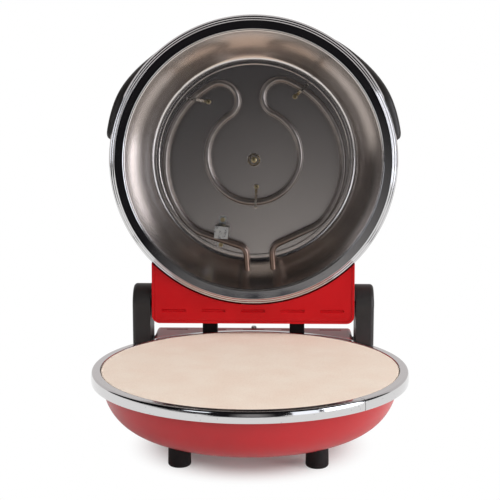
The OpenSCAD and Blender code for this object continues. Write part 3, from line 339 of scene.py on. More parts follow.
# Pale table: it takes the object's shadow near the middle and is plain white further off
table = {
    "half": 6.0, "tone": "#F2F0EF", "lift": 0.12,
    "cameraWhite": (0.07, 0.13),     # the camera sees it turn white between these metres from the base's axis
    "glossWhite": (0.15, 0.30),      # and metal and gloss see it so between these
}
tableMaterial = bpy.data.materials.new("paleTable")
tableMaterial.use_nodes = True
tableTree = tableMaterial.node_tree
tableTree.nodes.remove(tableTree.nodes["Principled BSDF"])
tableRays = addNode(tableTree, "ShaderNodeLightPath")
tableSeen = addNode(tableTree, "ShaderNodeMath", {"operation": "MAXIMUM"},
                    {0: tableRays.outputs["Is Camera Ray"], 1: tableRays.outputs["Is Glossy Ray"]})
tableCoords = addNode(tableTree, "ShaderNodeTexCoord")
tableFromAxis = addNode(tableTree, "ShaderNodeVectorMath",
                        {"operation": "SUBTRACT", 1: (0, place["axisY"], 0)},
                        {0: tableCoords.outputs["Object"]})
tableRadius = addNode(tableTree, "ShaderNodeVectorMath", {"operation": "LENGTH"},
                      {0: tableFromAxis.outputs["Vector"]})
tableWhite = []
for reach, ray in ((table["cameraWhite"], "Is Camera Ray"), (table["glossWhite"], "Is Glossy Ray")):
    whitening = addNode(tableTree, "ShaderNodeMapRange",
                        {"interpolation_type": "SMOOTHSTEP", "From Min": reach[0], "From Max": reach[1]},
                        {"Value": tableRadius.outputs["Value"]})
    tableWhite.append(addNode(tableTree, "ShaderNodeMath", {"operation": "MULTIPLY"},
                              {0: whitening.outputs["Result"], 1: tableRays.outputs[ray]}))
tableMix = addNode(tableTree, "ShaderNodeMath", {"operation": "MAXIMUM"},
                   {0: tableWhite[0].outputs[0], 1: tableWhite[1].outputs[0]})
tableDiffuse = addNode(tableTree, "ShaderNodeBsdfDiffuse", {"Color": table["tone"]})
tableLift = addNode(tableTree, "ShaderNodeMath", {"operation": "MULTIPLY", 1: table["lift"]},
                    {0: tableSeen.outputs[0]})
tableGlow = addNode(tableTree, "ShaderNodeEmission", None, {"Strength": tableLift.outputs[0]})
tableNear = addNode(tableTree, "ShaderNodeAddShader", None,
                    {0: tableDiffuse.outputs[0], 1: tableGlow.outputs[0]})
tableFar = addNode(tableTree, "ShaderNodeEmission", {"Strength": 1.0})
tableShader = addNode(tableTree, "ShaderNodeMixShader", None,
                      {0: tableMix.outputs[0], 1: tableNear.outputs[0], 2: tableFar.outputs[0]})
tableTree.links.new(tableShader.outputs[0], tableTree.nodes["Material Output"].inputs["Surface"])
far = table["half"]
stageSheet("table", [(-far, -far, 0), (far, -far, 0), (far, far, 0), (-far, far, 0)], [(0, 1, 2, 3)],
           tableMaterial)


# Strip of an upright wall on an arc round the origin: angles in degrees from the front to the right
def wallStrip(radius, start, end, foot, top, steps):
    turn = np.radians(np.linspace(start, end, steps + 1))
    points = [(radius * math.sin(a), -radius * math.cos(a), z) for z in (foot, top) for a in turn]
    return points, [(i, i + 1, i + steps + 2, i + steps + 1) for i in range(steps)]


# Rectangle between two opposite corners, lying flat or standing across the view
def flatCard(low, high):
    return [low, (high[0], low[1], low[2]), high, (low[0], high[1], high[2])], [(0, 1, 2, 3)]


# Studio that only metal and gloss see: a dark wall round the front, a pale one behind, ceilings and cards
studio = {
    "radius": 2.6, "height": 3.0, "turn": 112.0, "back": 0.9, "offTable": 0.01,
    "shadeFrom": 0.15, "shadeTo": 0.5,      # a card turns from foot to head at these metres from its centre
    "dark": "#111113", "white": "#F2F6FF",
}
half, top, wallEnd, back = studio["radius"], studio["height"], studio["turn"], studio["back"]
dark, white = studio["dark"], studio["white"]
cards = {
    "studioWall": {"sheet": wallStrip(half, -wallEnd, wallEnd, studio["offTable"], top, 28),
                   "foot": "#1B1B1E", "head": dark},
    "studioRear": {"sheet": wallStrip(half, 360 - wallEnd, wallEnd, studio["offTable"], top, 14),
                   "foot": "#DAD6D6"},
    "studioCeiling": {"sheet": flatCard((-half, -half, top), (half, back, top)), "foot": dark},
    "rearCeiling": {"sheet": flatCard((-half, back, top), (half, half, top)), "foot": "#A39B97"},
    "cardBehindCamera": {"sheet": flatCard((-0.62, -1.34, 0.01), (0.55, -1.34, 2.2)), "foot": "#8C8A8A",
                         "head": "#1C1B1D", "centre": (0.07, 0, 0), "stretch": (1.4, 0, 1)},
    "cardOnTable": {"sheet": flatCard((-0.5, -2.5, 0.004), (0.5, -0.9, 0.004)), "foot": "#2B2D34"},
    "whiteCardSide": {"sheet": wallStrip(1.7, 50, 80, 0, 1.15, 7), "foot": white, "glow": 5.0},
    "whiteCardRight": {"sheet": wallStrip(1.7, 28, 46, 0, 1.0, 7), "foot": white, "glow": 1.6},
    "whiteCardLeft": {"sheet": wallStrip(1.7, -42, -25, 0.3, 1.1, 7), "foot": white, "glow": 1.9},
}
for name, card in cards.items():
    cardMaterial = bpy.data.materials.new(name + "Cloth")
    cardMaterial.use_nodes = True
    cardTree = cardMaterial.node_tree
    cardTree.nodes.remove(cardTree.nodes["Principled BSDF"])
    cardCoords = addNode(cardTree, "ShaderNodeTexCoord")
    cardFrom = addNode(cardTree, "ShaderNodeVectorMath",
                       {"operation": "SUBTRACT", 1: card.get("centre", (0, 0, 0))},
                       {0: cardCoords.outputs["Object"]})
    cardScale = addNode(cardTree, "ShaderNodeVectorMath",
                        {"operation": "MULTIPLY", 1: card.get("stretch", (0, 0, 1))},
                        {0: cardFrom.outputs["Vector"]})
    cardReach = addNode(cardTree, "ShaderNodeVectorMath", {"operation": "LENGTH"},
                        {0: cardScale.outputs["Vector"]})
    cardShade = addNode(cardTree, "ShaderNodeValToRGB", None, {"Fac": cardReach.outputs["Value"]},
                        [(studio["shadeFrom"], card["foot"]),
                         (studio["shadeTo"], card.get("head", card["foot"]))])
    cardGlow = addNode(cardTree, "ShaderNodeEmission", {"Strength": card.get("glow", 1.0)},
                       {"Color": cardShade.outputs["Color"]})
    cardTree.links.new(cardGlow.outputs[0], cardTree.nodes["Material Output"].inputs["Surface"])
    sheet = stageSheet(name, *card["sheet"], cardMaterial)
    sheet.visible_camera = sheet.visible_diffuse = False
    sheet.visible_shadow = sheet.visible_transmission = False
print("stage: table and cards placed")


# Baked red enamel, sprayed on spun steel: deep colour under a clear gloss with a slight orange peel
def makeEnamelRed():
    finish = {"peel": 1.6 * mm, "peelHeight": 0.012 * mm, "patch": 60 * mm}      # as wide as real peel
    material, tree, shader, coords = startMaterial("bakedRedEnamel", {
        "Roughness": 0.36, "IOR": 1.45, "Coat Weight": 0.22, "Coat Roughness": 0.14})
    patchyColour(tree, shader, coords, finish["patch"], "#AC0A14", "#B60D18")
    grainBump(tree, shader, coords, finish["peel"], finish["peelHeight"])
    return material


# Powder-coated sheet steel of the two housings: the same red, finely textured, with little gloss square on
def makePowderRed():
    finish = {"peel": 0.9 * mm, "peelHeight": 0.02 * mm, "patch": 40 * mm}       # as wide as real
    material, tree, shader, coords = startMaterial("redPowderCoat", {
        "Roughness": 0.30, "IOR": 1.5, "Specular IOR Level": 0.26})
    patchyColour(tree, shader, coords, finish["patch"], "#B0020B", "#BA0610")
    grainBump(tree, shader, coords, finish["peel"], finish["peelHeight"])
    return material


# Polished chromium on the steel trim: a mirror, a little hazed by handling, with a few dust specks
def makeChromeTrim():
    finish = {
        "metal": "#D3D2D2", "dust": "#8F959E", "patch": 25 * mm,
        "speckGap": 5.4 * mm,      # between specks, which are drawn coarser than real dust so that they show
        "ripple": 14 * mm, "rippleHeight": 0.02 * mm,
    }
    material, tree, shader, coords = startMaterial("polishedChrome", {
        "Base Color": finish["metal"], "Metallic": 1.0, "Roughness": 0.08})
    patchyRoughness(tree, shader, coords, finish["patch"], 0.05, 0.12)
    specks = addNode(tree, "ShaderNodeTexVoronoi", {"Scale": 1 / finish["speckGap"]}, {"Vector": coords})
    speckSpot = addNode(tree, "ShaderNodeMapRange",
                        {"From Min": 0.05, "From Max": 0.09, "To Min": 1.0, "To Max": 0.0},
                        {"Value": specks.outputs["Distance"]})
    dusted = addNode(tree, "ShaderNodeMix", {"data_type": "RGBA", 6: finish["metal"], 7: finish["dust"]},
                     {0: speckSpot.outputs["Result"]})
    tree.links.new(dusted.outputs[2], shader.inputs["Base Color"])
    grainBump(tree, shader, coords, finish["ripple"], finish["rippleHeight"], detail=1.0)
    return material


# Object coordinates turned into the lid's own: x and y across its rim plane, z along its axis
def lidCoords(tree, coords):
    return addNode(tree, "ShaderNodeMapping", {"vector_type": "TEXTURE", "Location": tuple(lidCentre),
                                               "Rotation": (-place["lidOpen"], 0, 0)},
                   {"Vector": coords}).outputs["Vector"]


# Distance from the axis that Z of the given coordinates runs along
def axisRadius(tree, vector):
    flat = addNode(tree, "ShaderNodeVectorMath", {"operation": "MULTIPLY", 1: (1, 1, 0)}, {0: vector})
    length = addNode(tree, "ShaderNodeVectorMath", {"operation": "LENGTH"}, {0: flat.outputs[0]})
    return length.outputs["Value"]


# Aluminised steel, spun into a pan: satin, with fine rings left by the spinning tool
def makePanSteel():
    finish = {
        "ring": 1.1 * mm, "ringHeight": 0.004 * mm,      # drawn about twice as coarse as real, to show
        "tint": 0.7 * mm,
    }
    material, tree, shader, coords = startMaterial("spunAluminisedSteel", {
        "Metallic": 1.0, "Roughness": 0.23})
    radius = axisRadius(tree, lidCoords(tree, coords))
    rings = addNode(tree, "ShaderNodeTexNoise", {"noise_dimensions": "1D", "Scale": 1 / finish["ring"],
                                                 "Detail": 3.0}, {"W": radius})
    bump = addNode(tree, "ShaderNodeBump", {"Distance": finish["ringHeight"]},
                   {"Height": rings.outputs["Fac"]})
    tree.links.new(bump.outputs["Normal"], shader.inputs["Normal"])
    tint = addNode(tree, "ShaderNodeTexNoise", {"noise_dimensions": "1D", "Scale": 1 / finish["tint"],
                                                "Detail": 2.0}, {"W": radius})
    shade = addNode(tree, "ShaderNodeValToRGB", None, {"Fac": tint.outputs["Fac"]},
                    [(0.2, "#D9D2CD"), (0.8, "#E2DBD6")])
    tree.links.new(shade.outputs["Color"], shader.inputs["Base Color"])
    return material


# Nickel alloy sheath of the heater, annealed: warm grey, browned by heat where the legs enter the wall
def makeHeaterSheath():
    finish = {"draw": 2.5 * mm, "drawHeight": 0.01 * mm, "patch": 9 * mm, "brownFrom": 80 * mm,
              "brownTo": 112 * mm}
    material, tree, shader, coords = startMaterial("annealedNickelSheath", {
        "Metallic": 0.9, "Roughness": 0.3})
    ramp = patchyColour(tree, shader, coords, finish["patch"], "#746D69", "#827B76")
    lidY = addNode(tree, "ShaderNodeSeparateXYZ", None, {0: lidCoords(tree, coords)})
    legs = addNode(tree, "ShaderNodeMapRange",
                   {"From Min": finish["brownFrom"], "From Max": finish["brownTo"], "To Max": 0.6},
                   {"Value": lidY.outputs["Y"]})
    browned = addNode(tree, "ShaderNodeMix", {"data_type": "RGBA", 7: "#84634F"},
                      {0: legs.outputs["Result"], 6: ramp.outputs["Color"]})
    tree.links.new(browned.outputs[2], shader.inputs["Base Color"])
    grainBump(tree, shader, coords, finish["draw"], finish["drawHeight"])
    return material


# Cordierite baking stone, pressed and fired: matt, sandy, mottled pink and cream
def makeStone():
    finish = {
        "blotch": 38 * mm,
        "sand": 0.9 * mm, "sandHeight": 0.12 * mm,      # grit drawn about twice as coarse as real, to show
    }
    material, tree, shader, coords = startMaterial("cordieriteStone", {
        "Roughness": 0.88, "Specular IOR Level": 0.3})
    ramp = patchyColour(tree, shader, coords, finish["blotch"], "#EED9C8", "#F1E0D0")
    noise = grainBump(tree, shader, coords, finish["sand"], finish["sandHeight"])
    grit = addNode(tree, "ShaderNodeValToRGB", None, {"Fac": noise.outputs["Fac"]},
                   [(0.3, "#E6DED8"), (0.5, "#FFFFFF")])
    sandy = addNode(tree, "ShaderNodeMix", {"data_type": "RGBA", "blend_type": "MULTIPLY", 0: 0.6},
                    {6: ramp.outputs["Color"], 7: grit.outputs["Color"]})
    tree.links.new(sandy.outputs[2], shader.inputs["Base Color"])
    return material


# Glass-filled nylon, injection moulded: near black, satin, with a fine spark-eroded grain
def makeBlackMoulded():
    finish = {
        "grain": 0.45 * mm, "grainHeight": 0.03 * mm,      # drawn coarser than real, to show
        "patch": 20 * mm,
    }
    material, tree, shader, coords = startMaterial("mouldedBlackNylon", {
        "Roughness": 0.48, "Specular IOR Level": 0.45})
    patchyColour(tree, shader, coords, finish["patch"], "#211E1D", "#262322")
    grainBump(tree, shader, coords, finish["grain"], finish["grainHeight"])
    return material


# Soft rubber of the feet and buffers: matt and almost black
def makeRubber():
    finish = {"grain": 0.6 * mm, "grainHeight": 0.03 * mm, "patch": 8 * mm}
    material, tree, shader, coords = startMaterial("mattRubber", {
        "Roughness": 0.7, "Specular IOR Level": 0.35})
    patchyColour(tree, shader, coords, finish["patch"], "#0F0B0C", "#171213")
    grainBump(tree, shader, coords, finish["grain"], finish["grainHeight"])
    return material


# Small steel parts with a plating: bright, slightly satin, with faint marks of stamping
def makePlating(name, dark, pale, roughness):
    finish = {"patch": 3 * mm, "mark": 0.7 * mm, "markHeight": 0.002 * mm}
    material, tree, shader, coords = startMaterial(name, {"Metallic": 1.0})
    patchyColour(tree, shader, coords, finish["patch"], dark, pale)
    patchyRoughness(tree, shader, coords, finish["patch"], roughness - 0.06, roughness + 0.06)
    grainBump(tree, shader, coords, finish["mark"], finish["markHeight"])
    return material


# Dry matt materials inside the shells: mineral felt and unglazed steatite
def makeDry(name, dark, pale, grain, grainHeight):
    material, tree, shader, coords = startMaterial(name, {"Roughness": 0.95, "Specular IOR Level": 0.2})
    patchyColour(tree, shader, coords, grain * 4, dark, pale)
    grainBump(tree, shader, coords, grain, grainHeight)
    return material


# Clear orange polycarbonate of the lamp lenses: glossy, letting some light through
def makeLampLens():
    finish = {"flow": 4 * mm}
    material, tree, shader, coords = startMaterial("orangePolycarbonate", {
        "Roughness": 0.12, "IOR": 1.58, "Transmission Weight": 0.35, "Coat Weight": 0.3})
    patchyColour(tree, shader, coords, finish["flow"], "#D8481A", "#E45A22")
    return material


# White pad-printed ink of the dial's marks: flat and slightly chalky
def makeWhiteInk():
    finish = {"grain": 0.3 * mm}
    material, tree, shader, coords = startMaterial("whitePrintInk", {"Roughness": 0.55})
    patchyColour(tree, shader, coords, finish["grain"], "#E4E2DE", "#EEECE8")
    return material


enamelRed = makeEnamelRed()
powderRed = makePowderRed()
chromeTrim = makeChromeTrim()
panSteel = makePanSteel()
heaterSheath = makeHeaterSheath()
cordieriteStone = makeStone()
blackMoulded = makeBlackMoulded()
rubberFoot = makeRubber()
platedSteel = makePlating("zincPlatedSteel", "#B9B9B8", "#CDCDCB", 0.30)
yellowZinc = makePlating("yellowPassivatedZinc", "#AC9C78", "#BFB08C", 0.30)
clipSteel = makePlating("stampedStainless", "#B4ACA2", "#BDB5AB", 0.26)
mineralFelt = makeDry("mineralFelt", "#CFC8B8", "#DDD7C8", 1.5 * mm, 0.3 * mm)
steatite = makeDry("unglazedSteatite", "#DCD7CC", "#E8E4DA", 0.5 * mm, 0.05 * mm)
lampLens = makeLampLens()
whiteInk = makeWhiteInk()
print("materials: made")

# Which finish each CAD node that stays visible is given
dressing = [
    (powderRed, ["lower_housing", "lower_housing_plate", "upper_housing", "upper_housing_panel"]),
    (blackMoulded, ["hinge_arm_left", "hinge_arm_right", "hub_caps", "cord_gland", "thermostat_knob"]),
    (rubberFoot, ["front_feet", "rear_feet", "rear_buffers"]),
    (panSteel, ["base_liner", "thermostat_body"]),
    (heaterSheath, ["lower_element"]),
    (platedSteel, ["lower_element_clips", "lower_clip_screws", "lower_element_ferrules", "foot_screws",
                   "foot_nuts", "plate_screws", "cover_screw", "arm_screws", "element_ferrules",
                   "centre_post", "sensor_strap", "sensor_button", "handle_screws", "hinge_pins",
                   "buffer_screws"]),
    (yellowZinc, ["clip_screws", "centre_bolt", "sensor_screws"]),
    (clipSteel, ["element_clips", "centre_washer"]),
    (mineralFelt, ["base_insulation", "lid_insulation"]),
    (steatite, ["thermal_cutout", "lower_terminal_block", "upper_terminal_block"]),
    (lampLens, ["indicator_lamps"]),
]
for material, names in dressing:
    for name in names:
        nodes[name].data.materials.clear()
        nodes[name].data.materials.append(material)
print("dressing: CAD nodes have their finishes")

# Red shells: flat in the middle, then a quarter of an ellipse out to the ring
shells = {
    "thickness": 1.5, "flange": 161.0, "bandHeight": 11.0, "hold": 4.0,
    "bowl": {"flat": 104.0, "rim": 151.0, "height": 60.0},
    "dome": {"flat": 100.0, "rim": 151.0, "height": 73.0},
}


# Outside of a shell from its middle: the flat, held to near its edge, the quarter ellipse and the flange
def shellPath(size):
    wall = quarterEllipse(size["flat"], size["rim"], shells["bandHeight"], size["height"])
    middle = np.array([[0, size["height"]], [size["flat"] - shells["hold"], size["height"]]])
    return np.concatenate([middle, wall, [[shells["flange"], shells["bandHeight"]]]])


revolve("bowlShell", sheetOutline(shellPath(shells["bowl"]), -shells["thickness"]), inBase,
        material=enamelRed, body="base", slot="enamel_red", replaces=["base_bowl"])
revolve("domeShell", sheetOutline(shellPath(shells["dome"]), -shells["thickness"]), inLid,
        material=enamelRed, body="lid", slot="enamel_red", replaces=["lid_dome"])
print("shells: bowl and dome")

# Chrome rings: a flat face, a rounded outer edge and a band, rolled a little convex on the base's ring
rings = {
    "thickness": 1.2, "outer": 162.5, "band": 11.0, "innerRound": 1.2,
    "baseLip": 152.6, "baseShelf": 8.5, "baseEdge": 2.5, "seamAngle": 43.0, "seamWidth": 0.6,
    "bulge": 0.5, "bulgeAt": 7.5, "bulgeReach": 5.0, "rollFrom": 3.2, "rollPoints": 14,
    "lidLip": 145.3, "lidLipDepth": 2.9, "lidFaceOut": 155.4, "slantEdge": 0.7,
    "ledges": 2, "ledge": 0.9, "ledgeDrop": 0.1, "ledgeRound": 0.2,
}
bandDepth = np.linspace(rings["rollFrom"], rings["band"], rings["rollPoints"])
bandRadius = rings["outer"] - rings["bulge"] * ((bandDepth - rings["bulgeAt"]) / rings["bulgeReach"]) ** 2
bandSlope = (bandRadius[1] - bandRadius[0]) / (bandDepth[1] - bandDepth[0])
baseRing = np.concatenate([
    roundCorners([(rings["baseLip"], rings["baseShelf"], 0), (rings["baseLip"], 0, rings["innerRound"]),
                  (bandRadius[0] - bandSlope * bandDepth[0], 0, rings["baseEdge"]),
                  (bandRadius[0], bandDepth[0], 0)], steps=10),
    np.stack([bandRadius, bandDepth], -1)[1:]])
revolve("baseRingTrim", sheetOutline(baseRing, rings["thickness"]), inBase,
        start=math.radians(rings["seamAngle"]), gap=rings["seamWidth"] / rings["outer"],
        material=chromeTrim, body="base", slot="chrome", replaces=["base_ring"])

# The lid ring's band slants out from its flat face to the flange, with fine ledges rolled round it
slantOut = rings["outer"] - rings["lidFaceOut"] - rings["ledges"] * rings["ledge"]
slantDown = rings["band"] - rings["ledges"] * rings["ledgeDrop"]
slantCorners = []
for k in range(1, rings["ledges"] + 1):
    share = k / (rings["ledges"] + 1)
    foot = np.array([rings["lidFaceOut"] + slantOut * share, slantDown * share])
    ledgeStep = np.array([rings["ledge"], rings["ledgeDrop"]])
    foot += (k - 1) * ledgeStep
    slantCorners += [(*foot, rings["ledgeRound"]), (*(foot + ledgeStep), rings["ledgeRound"])]
lidRing = roundCorners([
    (rings["lidLip"], rings["lidLipDepth"], 0), (rings["lidLip"], 0, rings["innerRound"]),
    (rings["lidFaceOut"], 0, rings["slantEdge"]), *slantCorners,
    (rings["outer"], rings["band"], 0)], steps=8)
revolve("lidRingTrim", sheetOutline(lidRing, rings["thickness"]), inLid,
        material=chromeTrim, body="lid", slot="chrome", replaces=["lid_ring"])
print("rings: base and lid")

# Reflector pan: disc, small step, round corner, wall that curves out to its mouth, and the bead there
pan = {
    "thickness": 0.8, "depth": 49.8, "disc": 109.2, "discRound": 0.5,
    "stepHeight": 0.8, "stepWidth": 3.6, "stepSlope": 0.6, "stepRound": 0.4, "settle": 0.4,
    "corner": 8.0, "lean": 50.0, "waist": (136.6, 33.1), "mouth": 144.0,
    "bead": 3.0, "beadSlope": 0.8, "beadWidth": 6.0, "beadRound": 1.0, "rimSlope": 1.5,
    "rim": 160.6, "rimDepth": 8.6,
}
stepDepth, stepOut = pan["depth"] - pan["stepHeight"], pan["disc"] + pan["stepWidth"]
panCentre = np.array([stepOut + pan["stepSlope"], pan["depth"] + pan["settle"] - pan["corner"]])
panFloor = roundCorners([
    (0, pan["depth"], 0), (pan["disc"], pan["depth"], pan["discRound"]),
    (pan["disc"] + pan["stepSlope"], stepDepth, pan["stepRound"]), (stepOut, stepDepth, pan["stepRound"]),
    (panCentre[0], pan["depth"] + pan["settle"], 0)], steps=4)
panArc = arcPoints(panCentre, pan["corner"], 90, pan["lean"], 24)
u = np.linspace(0, 1, 25)[1:, None]
mouth = np.array([pan["mouth"], pan["bead"] + pan["stepRound"]])
panWall = (1 - u) ** 2 * panArc[-1] + 2 * u * (1 - u) * np.array(pan["waist"]) + u ** 2 * mouth
beadOut = pan["mouth"] + pan["beadWidth"]
panRim = roundCorners([
    (*mouth, 0), (pan["mouth"] + pan["beadSlope"], pan["bead"], pan["stepRound"]),
    (beadOut, pan["bead"], pan["beadRound"]), (beadOut + pan["rimSlope"], pan["rimDepth"], pan["beadRound"]),
    (pan["rim"], pan["rimDepth"], 0)], steps=4)
panPath = np.concatenate([panFloor, panArc, panWall, panRim[1:]])
revolve("reflectorPan", sheetOutline(panPath, pan["thickness"]), inLid,
        material=panSteel, body="lid", slot="pan_steel", replaces=["lid_pan"])
print("pan: spun")

# Baking stone: a thick disc with a worn upper edge, rebated below to sit in the ring
stone = {"radius": 152.2, "top": 0.3, "bottom": 12.3, "rebate": 145.5, "shelf": 8.5, "edge": 1.0,
         "shelfEdge": 0.4}
stoneOutline = roundCorners([
    (0, stone["top"], 0), (stone["radius"], stone["top"], stone["edge"]),
    (stone["radius"], stone["shelf"], stone["shelfEdge"]), (stone["rebate"], stone["shelf"], 0),
    (stone["rebate"], stone["bottom"], stone["edge"]), (0, stone["bottom"], 0)])
revolve("bakingStone", stoneOutline, inBase, material=cordieriteStone, body="base", slot="stone",
        replaces=["baking_stone"])
print("stone: laid")


# Points a fixed step apart along a path
def evenSteps(path, step):
    gaps = np.linalg.norm(np.diff(path, axis=0), axis=1)
    run = np.concatenate([[0], np.cumsum(gaps)])
    keep = np.concatenate([[True], gaps > 1e-6])
    marks = np.linspace(0, run[-1], int(run[-1] / step) + 1)
    return np.stack([np.interp(marks, run[keep], path[keep, k]) for k in range(path.shape[1])], -1)


# Plan of the lid with its front at +Y, and a depth, to a place in the open lid
def inPan(x, y, depth):
    return swingOpen(np.stack(np.broadcast_arrays(
        x * mm, place["axisY"] - y * mm, place["rimZ"] + place["lidGap"] + depth * mm), -1))


# Upper heater: legs, bends, straight runs, knees, outer arcs, small loops and the inner loop, mirrored
heater = {
    "tube": 7.0, "depth": 41.0, "inner": 53.5, "shift": 4.7, "small": 20.3, "smallAngle": 28.0,
    "outer": 102.5, "outerEnd": 40.0, "knee": 40.0, "run": 21.5, "bend": 12.0, "leg": 15.0,
    "legEnd": 149.0, "turn": 3.5, "step": 1.5, "sides": 28,
}


# Plan point at a radius and an angle in degrees from +X
def polar(radius, degrees):
    return radius * np.array([math.cos(math.radians(degrees)), math.sin(math.radians(degrees))])


# Plan of the heater, arcs and straight runs each tangent to the next: one half, then its mirror image
def heaterPlan(h):
    smallCentre = np.array([0, h["shift"]]) + polar(h["inner"] + h["small"], 90 - h["smallAngle"])
    drop = math.sqrt((h["outer"] - h["small"]) ** 2 - smallCentre[0] ** 2)
    outerCentre = np.array([0, smallCentre[1] - drop])
    smallEnd = math.degrees(math.atan2(smallCentre[1] - outerCentre[1], smallCentre[0]))
    kneeCentre = outerCentre + polar(h["outer"] - h["knee"], -h["outerEnd"])
    runFrom = kneeCentre + polar(h["knee"], h["run"] - 90)
    runSlope = math.radians(h["run"])
    runLength = (runFrom[0] + h["bend"] * math.sin(runSlope) - h["leg"] - h["bend"]) / math.cos(runSlope)
    runTo = runFrom - polar(runLength, h["run"])
    bendCentre = np.array([h["leg"] + h["bend"], runTo[1] - h["bend"] * math.cos(runSlope)])
    half = np.concatenate([
        [[h["leg"], -h["legEnd"]]],
        arcPoints(bendCentre, h["bend"], 180, 90 + h["run"], 16),
        arcPoints(kneeCentre, h["knee"], h["run"] - 90, -h["outerEnd"], 24),
        arcPoints(outerCentre, h["outer"], -h["outerEnd"], smallEnd, 90),
        arcPoints(smallCentre, h["small"], smallEnd, 270 - h["smallAngle"], 60),
        arcPoints((0, h["shift"]), h["inner"], 90 - h["smallAngle"], -90, 80)])
    return np.concatenate([half, half[::-1] * [-1, 1]])


heaterWay = turned(evenSteps(heaterPlan(heater), heater["step"]), math.radians(heater["turn"]))
heaterAlong = unitAlong(heaterWay)
roundTube = fullTurn(heater["sides"])
tubeOut = heater["tube"] / 2 * np.cos(roundTube)[:, None]
tubeRise = heater["tube"] / 2 * np.sin(roundTube)[:, None]
gridMesh("upperHeater", inPan(heaterWay[None, :, 0] + tubeOut * heaterAlong[None, :, 1],
                              heaterWay[None, :, 1] - tubeOut * heaterAlong[None, :, 0],
                              heater["depth"] + tubeRise),
         closeRows=True, capEnds=True, material=heaterSheath, body="lid", slot="heater_sheath",
         replaces=["upper_element"])
print("heater: formed")

# Handle: a rounded bar along half a squarish ellipse in plan, climbing from the dome's sides to the grip
handle = {
    "halfWidth": 168.0, "reach": 160.0, "squareness": 2.25, "width": 19.0, "height": 18.0,
    "low": 22.0, "high": 83.0, "end": 83.0, "climbFrom": 68.0, "climbTo": 40.0,
    "round": 0.6, "endRound": 9.0, "endSize": 0.5, "seat": 0.1, "step": 2.0, "sides": 64,
}


# Middle of the bar, t degrees from the front: x and y on |x/a|^n + |y/b|^n = 1, and a smooth step for height
def handleLine(t):
    u = np.clip((handle["climbFrom"] - np.abs(t)) / (handle["climbFrom"] - handle["climbTo"]), 0, 1)
    lift = u * u * (3 - 2 * u)
    power = 2 / handle["squareness"]
    across, ahead = np.sin(np.radians(t)), np.cos(np.radians(t))
    middleOut, middleAhead = handle["halfWidth"] - handle["width"] / 2, handle["reach"] - handle["width"] / 2
    return np.stack([middleOut * np.sign(across) * np.abs(across) ** power, middleAhead * ahead ** power,
                     handle["low"] + (handle["high"] - handle["low"]) * lift], -1)


handleMiddle = evenSteps(handleLine(np.linspace(-handle["end"], handle["end"], 1201)), handle["step"])
handleAlong = unitAlong(handleMiddle)
handleSide = np.stack([handleAlong[:, 1], -handleAlong[:, 0], 0 * handleAlong[:, 0]], -1)
handleSide /= np.linalg.norm(handleSide, axis=1, keepdims=True)
handleUp = np.cross(handleSide, handleAlong)
run = np.concatenate([[0], np.cumsum(np.linalg.norm(np.diff(handleMiddle, axis=0), axis=1))])
inFromEnd = np.clip(np.minimum(run, run[-1] - run) / handle["endRound"], 0, 1)
swell = handle["endSize"] + (1 - handle["endSize"]) * np.sqrt(1 - (1 - inFromEnd) ** 2)
roundBar = fullTurn(handle["sides"])
barOut = np.sign(np.cos(roundBar)) * np.abs(np.cos(roundBar)) ** handle["round"] * handle["width"] / 2
barUp = np.sign(np.sin(roundBar)) * np.abs(np.sin(roundBar)) ** handle["round"] * handle["height"] / 2
barPoints = handleMiddle[None] + swell[None, :, None] * (
    barOut[:, None, None] * handleSide[None] + barUp[:, None, None] * handleUp[None])

# Where the bar would reach into the dome it is moulded to the dome's own curve
dome = shells["dome"]
domeRise = dome["height"] - shells["bandHeight"]
barHeight = np.clip((barPoints[..., 2] - shells["bandHeight"]) / domeRise, 0, 1)
domeRadius = dome["flat"] + (dome["rim"] - dome["flat"]) * np.sqrt(1 - barHeight ** 2) + handle["seat"]
barRadius = np.linalg.norm(barPoints[..., :2], axis=-1)
barPoints[..., :2] *= np.maximum(1, domeRadius / barRadius)[..., None]
gridMesh("handleBar", inPan(barPoints[..., 0], barPoints[..., 1], barPoints[..., 2]), closeRows=True,
         capEnds=True, material=blackMoulded, body="lid", slot="black_plastic", replaces=["lid_handle"],
         sharp=50)
print("handle: moulded")

# Plain numbers and ticks printed round the thermostat knob, on the roof of the upper housing
dial = {
    "centre": (-82.0, 165.0), "height": 136.4, "radius": 23.2, "size": 4.6, "rise": 0.12, "numbers": 5,
    "step": -57.0, "tickIn": 17.6, "tickOut": 19.4, "tickWide": 0.7,
}


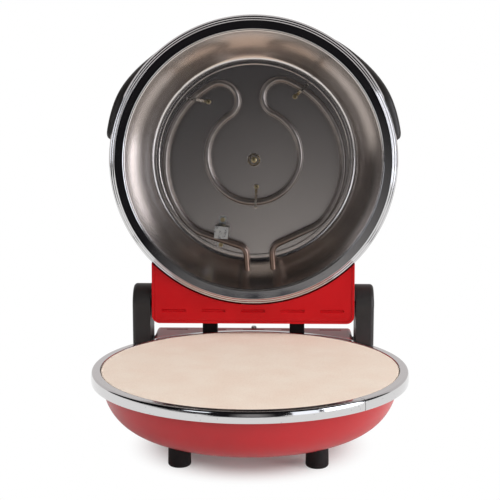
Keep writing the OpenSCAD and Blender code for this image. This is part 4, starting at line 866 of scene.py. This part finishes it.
# Plan points round the knob, in mm, laid on the closed housing's roof and swung open with the lid
def onRoof(x, y, rise):
    x, y, z = np.broadcast_arrays(dial["centre"][0] + x, dial["centre"][1] + y, dial["height"] + rise)
    return swingOpen(np.stack([x * mm, place["axisY"] + y * mm, z * mm], -1))


# Points and faces of one number, a little thick, upright and set at an angle round the knob
def dialNumber(number, turn):
    curve = bpy.data.curves.new("dialNumber", "FONT")
    curve.body, curve.size, curve.extrude = str(number), dial["size"], dial["rise"] / 2
    curve.align_x, curve.align_y = "CENTER", "CENTER"
    holder = bpy.data.objects.new("dialNumber", curve)
    bpy.context.scene.collection.objects.link(holder)
    bpy.context.view_layer.update()
    shape = holder.evaluated_get(bpy.context.evaluated_depsgraph_get()).to_mesh()
    flat = np.array([v.co[:] for v in shape.vertices])
    faces = [list(f.vertices) for f in shape.polygons]
    holder.to_mesh_clear()
    bpy.data.objects.remove(holder)
    x = flat[:, 0] - dial["radius"] * math.sin(turn)
    y = flat[:, 1] + dial["radius"] * math.cos(turn)
    return np.stack([x, y, flat[:, 2] + dial["rise"] / 2], -1), faces


tickFaces = [[3, 2, 1, 0], [4, 5, 6, 7], [0, 1, 5, 4], [1, 2, 6, 5], [2, 3, 7, 6], [3, 0, 4, 7]]
dialPoints, dialFaces = [], []
for k in range(dial["numbers"]):
    turn = math.radians(k * dial["step"])
    points, faces = dialNumber(k + 1, turn)
    tick = np.array([[side * dial["tickWide"] / 2, reach, z] for z in (0, dial["rise"]) for side, reach in (
        (-1, dial["tickIn"]), (1, dial["tickIn"]), (1, dial["tickOut"]), (-1, dial["tickOut"]))])
    tick[:, :2] = turned(tick[:, :2], turn)
    for newPoints, newFaces in ((points, faces), (tick, tickFaces)):
        start = sum(len(p) for p in dialPoints)
        dialFaces += [[start + i for i in face] for face in newFaces]
        dialPoints.append(newPoints)
dialPoints = np.concatenate(dialPoints)
finishMesh("dialNumbers", onRoof(dialPoints[:, 0], dialPoints[:, 1], dialPoints[:, 2]), dialFaces,
           material=whiteInk, body="lid", slot="steatite")
print("dial: numbers printed")
